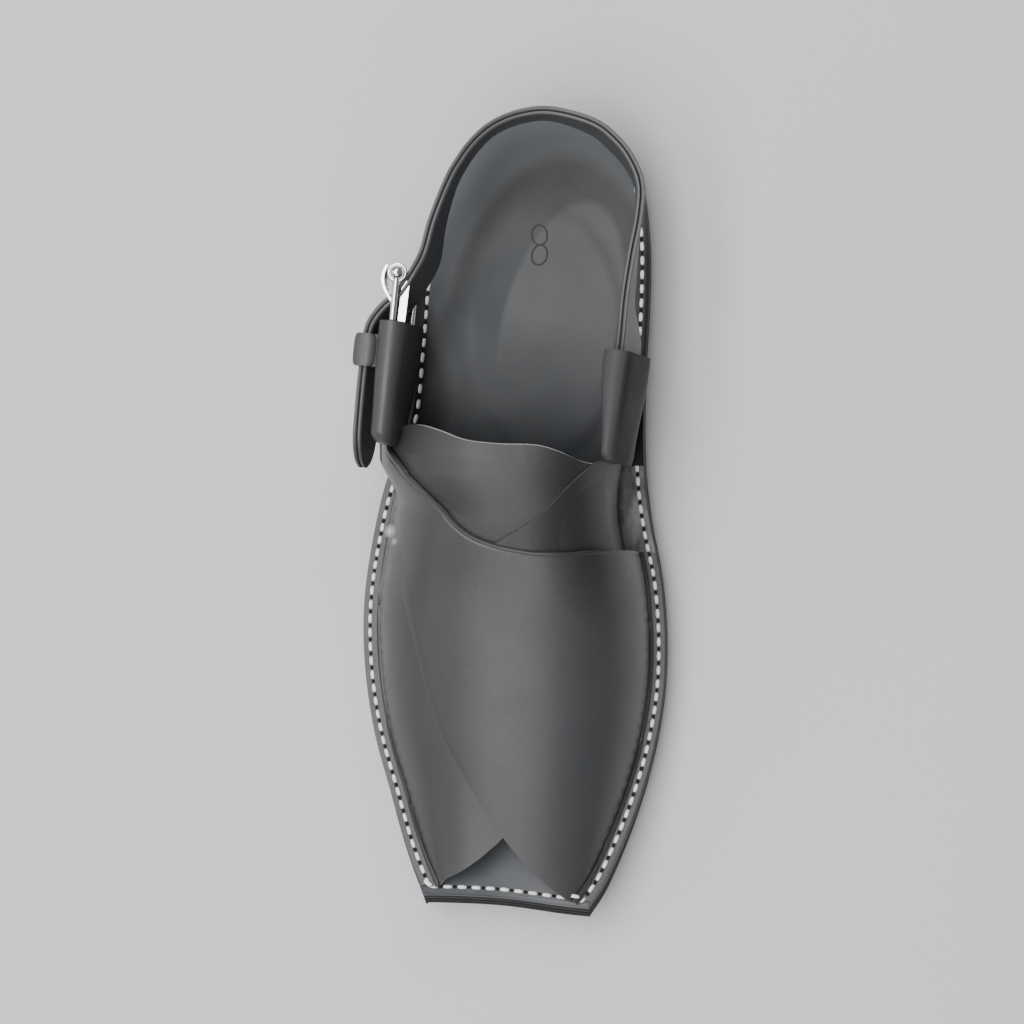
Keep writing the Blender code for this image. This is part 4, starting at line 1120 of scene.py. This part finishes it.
def build_stitches(finish):
    """Every stitch as a capsule: rings along its length, each an ellipse scaled by a rounded end."""
    u = np.linspace(-1, 1, 9)
    angle = np.linspace(0, 2 * math.pi, 8, endpoint=False)
    full = np.sqrt(np.clip(1 - np.abs(u) ** 2.6, 0, 1))
    sag = -0.0006 * np.abs(u) ** 3
    along = (u * STITCH_LENGTH / 2)[None, :, None]
    across = (full[:, None] * np.cos(angle)[None, :] * STITCH_WIDTH / 2)[None]
    raised = (full[:, None] * np.sin(angle)[None, :] * STITCH_HIGH / 2 + sag[:, None] + 0.00018)[None]
    solid = set_on_seam(*stitch_line(), along, across, raised)
    count, rings, around = solid.shape[:3]
    k, i, j = np.meshgrid(np.arange(count), np.arange(rings - 1), np.arange(around), indexing="ij")
    a = (k * rings + i) * around + j
    b = (k * rings + i) * around + (j + 1) % around
    faces = np.stack([a, b, b + around, a + around], axis=-1).reshape(-1, 4)
    return add_mesh("stitches", solid.reshape(-1, 3), faces, finish, sharp=80.0)


def build_hole_shade(finish):
    """Painted shade at the hole between two stitches: a low dark boss, an ellipse fading to its rim."""
    points, way = stitch_line()
    points = (points + np.roll(points, -1, axis=0)) / 2
    radius = np.linspace(0, 1, 4)
    angle = np.linspace(0, 2 * math.pi, 14)
    along = (radius[:, None] * np.cos(angle)[None, :] * 0.0009)[None]
    across = (radius[:, None] * np.sin(angle)[None, :] * 0.00070)[None]
    raised = (0.00010 * (1 - radius**2)[:, None] * np.ones(14)[None, :] - 0.00002)[None]
    solid = set_on_seam(points, way, along, across, raised)
    count, rings, around = solid.shape[:3]
    faces = grid_faces(rings, around)[None] + (np.arange(count) * rings * around)[:, None, None]
    return add_mesh("stitch_hole_shade", solid.reshape(-1, 3), faces.reshape(-1, 4), finish, sharp=80.0)


THREAD = thread_finish()
# Dark bosses of painted shade at the stitch holes
HOLE_PAINTED_SHADE = rubber_finish("stitch_hole_painted_shade_finish", (0.006, 0.006, 0.006), 0.7)
stitches = build_stitches(THREAD)
holes = build_hole_shade(HOLE_PAINTED_SHADE)
for piece in (stitches, holes):
    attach(piece, "root")

# The heel strap is two plies of strap leather, cemented back to back and stood on edge. It leaves
# the inner loop, goes round the heel, passes out through the buckle and hangs beside the loop.

STRAP_START = 0.24
BUCKLE_SPAN = 0.0184
FRONT_BAR_DEPTH = 0.0016
KEEPER_LENGTH = 0.0110
KEEPER_WALL = 0.0013
KEEPER_CLEAR = 0.0008
KEEPER_WIDTH = STRAP_THICK + 2 * (KEEPER_CLEAR + KEEPER_WALL)
KEEPER_HEIGHT = STRAP_HEIGHT + 2 * (KEEPER_CLEAR + KEEPER_WALL)
KEEPER_OFFSET = LOOP_WIDTH / 2 + GAP + KEEPER_WIDTH / 2
KEEPER_AT = 0.23

# The strap's way round the heel: share of the length, share of the ball width, height as a share of
# the loops' rise, lean in degrees; then past the buckle: share of its span, and way out; then beside
# the loop: share of the loop's length, and way out
HEEL_ROWS = (
    (0.754, 0.390, 0.951, -14.0), (0.804, 0.405, 0.951, -10.0), (0.849, 0.419, 0.944, -4.0),
    (0.888, 0.419, 0.934, 0.0), (0.919, 0.384, 0.925, 3.0), (0.942, 0.334, 0.918, 5.0),
    (0.961, 0.266, 0.911, 5.0), (0.974, 0.142, 0.905, 5.0), (0.971, 0.046, 0.905, 5.0),
    (0.958, -0.037, 0.911, 5.0), (0.938, -0.095, 0.918, 6.0), (0.916, -0.136, 0.925, 7.0),
    (0.893, -0.168, 0.934, 8.0), (0.847, -0.213, 0.951, 10.0), (0.807, -0.240, 0.970, 12.0),
)
BUCKLE_ROWS = ((1.000, -1.36), (0.560, 0.00), (0.300, 1.44), (0.050, 2.38))
TAIL_ROWS = ((0.10, 0.98), (0.23, 1.00), (0.45, 1.02), (0.75, 1.00), (1.10, 0.95))


def buckle_place():
    """The buckle's front bar, the level way to its rear bar, and the way outwards."""
    axis = loop_axis(OUTER_LOOP, 1)
    along = axis[-1] - axis[-2]
    along[2] = 0
    along /= np.linalg.norm(along)
    outward = np.array([-along[1], along[0], 0])
    return axis[-1] - along * FRONT_BAR_DEPTH, along, outward


def beside_loop(share, distance):
    """A point at a share of the outer loop's length from its rear, and a distance outside it."""
    axis = loop_axis(OUTER_LOOP, 1)
    reach = share * (axis[-1, 1] - axis[0, 1])
    y = axis[-1, 1] - reach
    slope = (axis[-1, 0] - axis[0, 0]) / (axis[-1, 1] - axis[0, 1])
    x = axis[-1, 0] - slope * reach
    z = np.interp(y, axis[:, 1], axis[:, 2])
    outward = np.array([-1.0, slope, 0]) / math.hypot(1, slope)
    return np.array([x, y, z]) + outward * distance


def strap_path(steps):
    """The strap's path and lean, as a Catmull-Rom curve through its rows."""
    inner = loop_axis(INNER_LOOP, 1)
    start = inner[0] + (inner[1] - inner[0]) * 2 * STRAP_START
    rows = [(*start, -18.0), (*inner[1], -18.0), (*inner[2], -18.0)]
    for along, across, height, lean in HEEL_ROWS:
        y = TOE_Y + along * SOLE_LENGTH
        z = rise_at(y) + INSOLE_TOP + height * LOOP_RISE
        rows.append((across * BALL_WIDTH + SHIFT_X, y + SHIFT_Y, z, lean))
    front, direction, outward = buckle_place()
    room_beside = STRAP_THICK / 2 + FRAME_WIRE + 2 * GAP
    for reach, out in BUCKLE_ROWS:
        rows.append((*(front + direction * reach * BUCKLE_SPAN + outward * out * room_beside), 12.0))
    for share, out in TAIL_ROWS:
        rows.append((*beside_loop(share, out * KEEPER_OFFSET), 12.0))
    return spline(rows, steps)


def flat_ring(width, height, corner, per_corner=5):
    """A rectangle with rounded corners as points round its middle."""
    quarter = np.linspace(0, math.pi / 2, per_corner)
    parts = []
    for k, (sx, sy) in enumerate(((1, 1), (-1, 1), (-1, -1), (1, -1))):
        turned = quarter + k * math.pi / 2
        x = sx * (width / 2 - corner) + corner * np.cos(turned)
        y = sy * (height / 2 - corner) + corner * np.sin(turned)
        parts.append(np.column_stack([x, y]))
    flat = np.vstack(parts)
    closed = np.vstack([flat, flat[:1]])
    return resample(closed, 61)[:-1]


def carried(path, ring, lean, scale=None):
    """A profile carried along a path: turned by the lean, spread along the level side direction."""
    sides = path_sides(path)
    scale = np.ones((len(path), 2)) if scale is None else scale
    rx = ring[None, :, 0] * scale[:, :1]
    ry = ring[None, :, 1] * scale[:, 1:]
    lean = np.broadcast_to(lean, len(path))[:, None]
    across = rx * np.cos(lean) + ry * np.sin(lean)
    up = ry * np.cos(lean) - rx * np.sin(lean)
    return path[:, None] + across[..., None] * sides[:, None] + up[..., None] * np.array([0, 0, 1.0])


def ended(rings):
    """Rings of points with one more ring at each end, drawn in to its middle."""
    ends = [np.repeat(rings[k].mean(axis=0)[None], rings.shape[1], axis=0)[None] for k in (0, -1)]
    return np.concatenate([ends[0], rings, ends[1]])


def closed_rings(name, rings, finish, sharp=50.0):
    """Rings of points joined along their path and each closed round it."""
    solid = np.concatenate([rings, rings[:, :1]], axis=1)
    return add_mesh(name, solid.reshape(-1, 3), grid_faces(*solid.shape[:2]), finish, sharp)


STRAP_COLOURS = ((0.054, 0.053, 0.052), (0.058, 0.060, 0.064))
STRAP_LEATHER = leather_finish("strap_leather_finish", *STRAP_COLOURS, 0.46, 1.0, 0.10)
PLY = 0.00148
PLY_APART = 0.00078
TIP_REACH = 0.0130


def build_strap():
    """Two plies side by side along the strap's path. Their lower edge swings out under the upper one
    behind the heel, and in beside the inner loop. The hanging end is cut to a rounded tip."""
    table = strap_path(10)
    path, lean = table[:, :3], np.radians(table[:, 3])
    sides = path_sides(path)
    x, y = path[:, 0], path[:, 1]
    swing_out = eased(y, 0.080, 0.115) * (1 - eased(x, 0.008, 0.042))
    swing_in = eased(x, 0.010, 0.030) * eased(y, 0.056, 0.072) * (1 - eased(y, 0.090, 0.118))
    swing = np.radians(7.0 * swing_out - 8.0 * swing_in)
    path = path + sides * (STRAP_HEIGHT / 2 * (np.sin(lean) - np.sin(lean - swing)))[:, None]
    lean = lean - swing
    length = np.concatenate([[0], np.cumsum(np.linalg.norm(np.diff(path, axis=0), axis=1))])
    to_end = length[-1] - length
    tip = np.sqrt(np.clip(1 - np.clip(1 - to_end / TIP_REACH, 0, 1) ** 2, 0.02, 1))
    start = np.clip(0.6 + length / 0.001 * 0.4, 0, 1)
    ring = flat_ring(PLY, STRAP_HEIGHT, 0.00062)
    scale = np.column_stack([np.minimum(start, 0.4 + 0.6 * tip), tip * start])
    made = []
    for name, side in (("heel_strap_outer_ply", 1), ("heel_strap_inner_ply", -1)):
        ply = carried(path + sides * (side * PLY_APART), ring, lean, scale)
        made.append(closed_rings(name, ended(ply), STRAP_LEATHER))
    return made


def build_inner_lap():
    """The strap's lining end: a thin ply that leaves the inner face behind the buckle and runs
    forward along the wing's inside to a rounded end."""
    rows = (
        (-0.0290, 0.0875, 0.0450, 14.0),
        (-0.0312, 0.0820, 0.0440, 24.0),
        (-0.0330, 0.0750, 0.0425, 34.0),
        (-0.0338, 0.0680, 0.0415, 38.0),
        (-0.0342, 0.0615, 0.0405, 40.0),
    )
    table = spline(rows, 8)
    path, lean = table[:, :3], np.radians(table[:, 3])
    u = np.linspace(0, 1, len(path))
    tip = np.sqrt(np.clip(1 - np.clip((u - 0.80) / 0.20, 0, 1) ** 2, 0.01, 1))
    ring = flat_ring(0.0015, 0.0115, 0.0006)
    lap = carried(path, ring, lean, np.column_stack([0.5 + 0.5 * tip, tip]))
    return closed_rings("heel_strap_lap", ended(lap), STRAP_LEATHER)


for piece in (*build_strap(), build_inner_lap()):
    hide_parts("heel_strap")
    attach(piece, "root")

# The keeper is a band of the same leather, folded round the hanging end and sewn shut behind.


def build_keeper():
    """A short sleeve: its profile puffed in the middle, with an inner face and rounded mouths."""
    middle = beside_loop(KEEPER_AT, KEEPER_OFFSET)
    along = beside_loop(0, KEEPER_OFFSET) - beside_loop(1, KEEPER_OFFSET)
    along /= np.linalg.norm(along)
    u = np.linspace(-1, 1, 25)
    path = middle + along * (u * KEEPER_LENGTH / 2)[:, None]
    puff = 1 + 0.14 * (1 - u**4) - 0.10 * np.abs(u) ** 12
    ring = flat_ring(KEEPER_WIDTH, KEEPER_HEIGHT, 0.0026, 8)
    outer = carried(path, ring, OUTER_LEAN, np.column_stack([puff, 0.985 + 0.015 * puff]))
    inner_ring = flat_ring(KEEPER_WIDTH - 2 * KEEPER_WALL, KEEPER_HEIGHT - 2 * KEEPER_WALL, 0.0014, 8)
    inner = carried(path[::-1], inner_ring, OUTER_LEAN)
    return closed_rings("keeper_dressed", np.concatenate([outer, inner, outer[:1]]), STRAP_LEATHER, 60.0)


keeper = build_keeper()
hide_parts("keeper")
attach(keeper, "root")

# The buckle is bent from bright chromed wire: a frame whose front bar lies in the loop's mouth, a
# ball on the rear bar's upper end, a flat prong from bar to bar, and a small curved outer guard.

FRAME_CORNER = 0.0030
PRONG_WIDTH = 0.0024
PRONG_THICK = 0.0014
PRONG_TIP = 0.0016
BALL_RADIUS = 0.0024
FOOT_RADIUS = 0.0019


def chrome_finish():
    """Chrome plate: bright, almost smooth, with hairline wear in its roughness."""
    made, tree, shader = new_finish("chrome_finish", (0.95, 0.95, 0.96), 0.16, Metallic=1.0)
    wear = object_noise(tree, 500.0, 5.0)
    tree.links.new(spread(tree, wear.outputs["Fac"], 0.12, 0.24), shader.inputs["Roughness"])
    return made


CHROME = chrome_finish()


def round_wire(points, radius, closed, around=16):
    """A wire: a circle carried along points, in the frame of the path's tangent and a fixed normal."""
    points = np.asarray(points, float)
    before, after = np.roll(points, 1, axis=0), np.roll(points, -1, axis=0)
    if not closed:
        before[0], after[-1] = points[0], points[-1]
    tangent = after - before
    tangent /= np.linalg.norm(tangent, axis=1, keepdims=True)
    _, _, spread_axes = np.linalg.svd(points - points.mean(axis=0))
    flat = np.cross(spread_axes[2], tangent)
    angle = np.linspace(0, 2 * math.pi, around + 1)
    ring = flat[:, None] * np.cos(angle)[None, :, None] + spread_axes[2] * np.sin(angle)[None, :, None]
    solid = points[:, None] + ring * radius
    return np.concatenate([solid, solid[:1]]) if closed else solid


def ball(centre, radius, squash=1.0, rings=14, around=20):
    """A sphere as circles of latitude about the upright axis, its poles closed."""
    v = np.linspace(0, math.pi, rings)[:, None]
    w = np.linspace(0, 2 * math.pi, around + 1)[None, :]
    x, y, z = np.sin(v) * np.cos(w), np.sin(v) * np.sin(w), np.cos(v) * squash + 0 * w
    return np.asarray(centre) + np.stack([x, y, z], axis=-1) * radius


def plate_solid(middle, thick_way, thickness):
    """A thin plate from its middle grid: the grid moved both ways, joined as one closed skin."""
    front_face = middle + thick_way * thickness / 2
    rear_face = middle - thick_way * thickness / 2
    return ended(np.concatenate([front_face, rear_face[:, ::-1], front_face[:, :1]], axis=1))


def guard_plate(head, along, outward, up):
    """The guard: a curved plate that swings out from the ball and back in towards the loop."""
    u = np.linspace(0, 1, 22)[:, None, None]
    v = np.linspace(-1, 1, 9)[None, :, None]
    reach = 0.0022 - 0.0120 * u
    swing = 0.0018 + 0.0034 * np.sin(math.pi * np.clip(0.18 + 0.74 * u, 0, 1)) - 0.0012 * u
    tall = 0.0038 * (1 - 0.55 * u**2)
    middle = head - up * 0.0042 + along * reach + outward * swing + up * v * tall
    return plate_solid(middle, outward, 0.0009)


def upper_bar(front, rear, along, outward, up):
    """The flat bar under the frame's top wire: a rounded strip from the rear bar to the loop."""
    u = np.linspace(0, 1, 16)[:, None, None]
    v = np.linspace(-1, 1, 9)[None, :, None]
    start = rear - along * 0.0025 + up * (FRAME_HALF - 0.0026) - outward * 0.0027
    final = front + along * 0.0012 + up * (FRAME_HALF - 0.0036) - outward * 0.0021
    half = 0.00125 * np.sqrt(np.clip(1 - np.abs(2 * u - 1) ** 14, 0.05, 1))
    middle = start * (1 - u) + final * u - outward * v * half
    return plate_solid(middle, up, 0.0010)


def build_frame():
    """The frame's rounded rectangle of wire, with its ball, collar and guard."""
    front, along, outward = buckle_place()
    up = np.array([math.sin(OUTER_LEAN), 0, math.cos(OUTER_LEAN)])
    path = []
    for reach, side, start in ((0, -1, 180), (BUCKLE_SPAN, -1, 270), (BUCKLE_SPAN, 1, 0), (0, 1, 90)):
        a0 = reach + (FRAME_CORNER if reach == 0 else -FRAME_CORNER)
        b0 = side * (FRAME_HALF - FRAME_CORNER)
        angle = np.radians(start + np.linspace(0, 90, 10))
        a = a0 + FRAME_CORNER * np.cos(angle)
        b = b0 + FRAME_CORNER * np.sin(angle)
        path.append(front + along * a[:, None] + up * b[:, None])
    path = np.vstack(path)
    parts = [round_wire(path, FRAME_WIRE, True)]
    rear = front + along * BUCKLE_SPAN
    head = rear + up * (FRAME_HALF + 0.0006)
    parts.append(ball(head, BALL_RADIUS))
    turn = np.linspace(0, 2 * math.pi, 33)[:-1]
    collar = head - up * 0.0006 + (along * np.cos(turn)[:, None] + outward * np.sin(turn)[:, None]) * 0.0029
    parts.append(round_wire(collar, 0.0005, True, 10))
    foot = rear - up * (FRAME_HALF + 0.0002)
    parts.append(ball(foot, FOOT_RADIUS))
    parts.append(guard_plate(head, along, outward, up))
    parts.append(upper_bar(front, rear, along, outward, up))
    return join_grids("buckle_frame_dressed", parts, CHROME)


def build_prong():
    """The flat prong: a rounded flat section carried from the front bar over the rear bar."""
    front, along, outward = buckle_place()
    clear = FRAME_WIRE + GAP
    rear = front + along * BUCKLE_SPAN
    rest = outward * (clear + PRONG_THICK / 2)
    start = front + along * clear
    bend_at = rear - along * 2 * PRONG_TIP + rest
    rows = (start, start + along * PRONG_TIP, bend_at, rear + rest, rear + along * (clear + PRONG_TIP) + rest)
    path = spline(rows, 8)
    tip = np.clip(0.55 + (1 - np.linspace(0, 1, len(path))) * 6, 0, 1)
    ring = flat_ring(PRONG_THICK, PRONG_WIDTH, 0.0005)
    prong = carried(path, ring, 0.0, np.column_stack([tip, tip]))
    return closed_rings("buckle_prong_dressed", ended(prong), CHROME)


buckle_frame = build_frame()
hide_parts("buckle_frame")
buckle_prong = build_prong()
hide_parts("buckle_prong")
for piece in (buckle_frame, buckle_prong):
    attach(piece, "root")
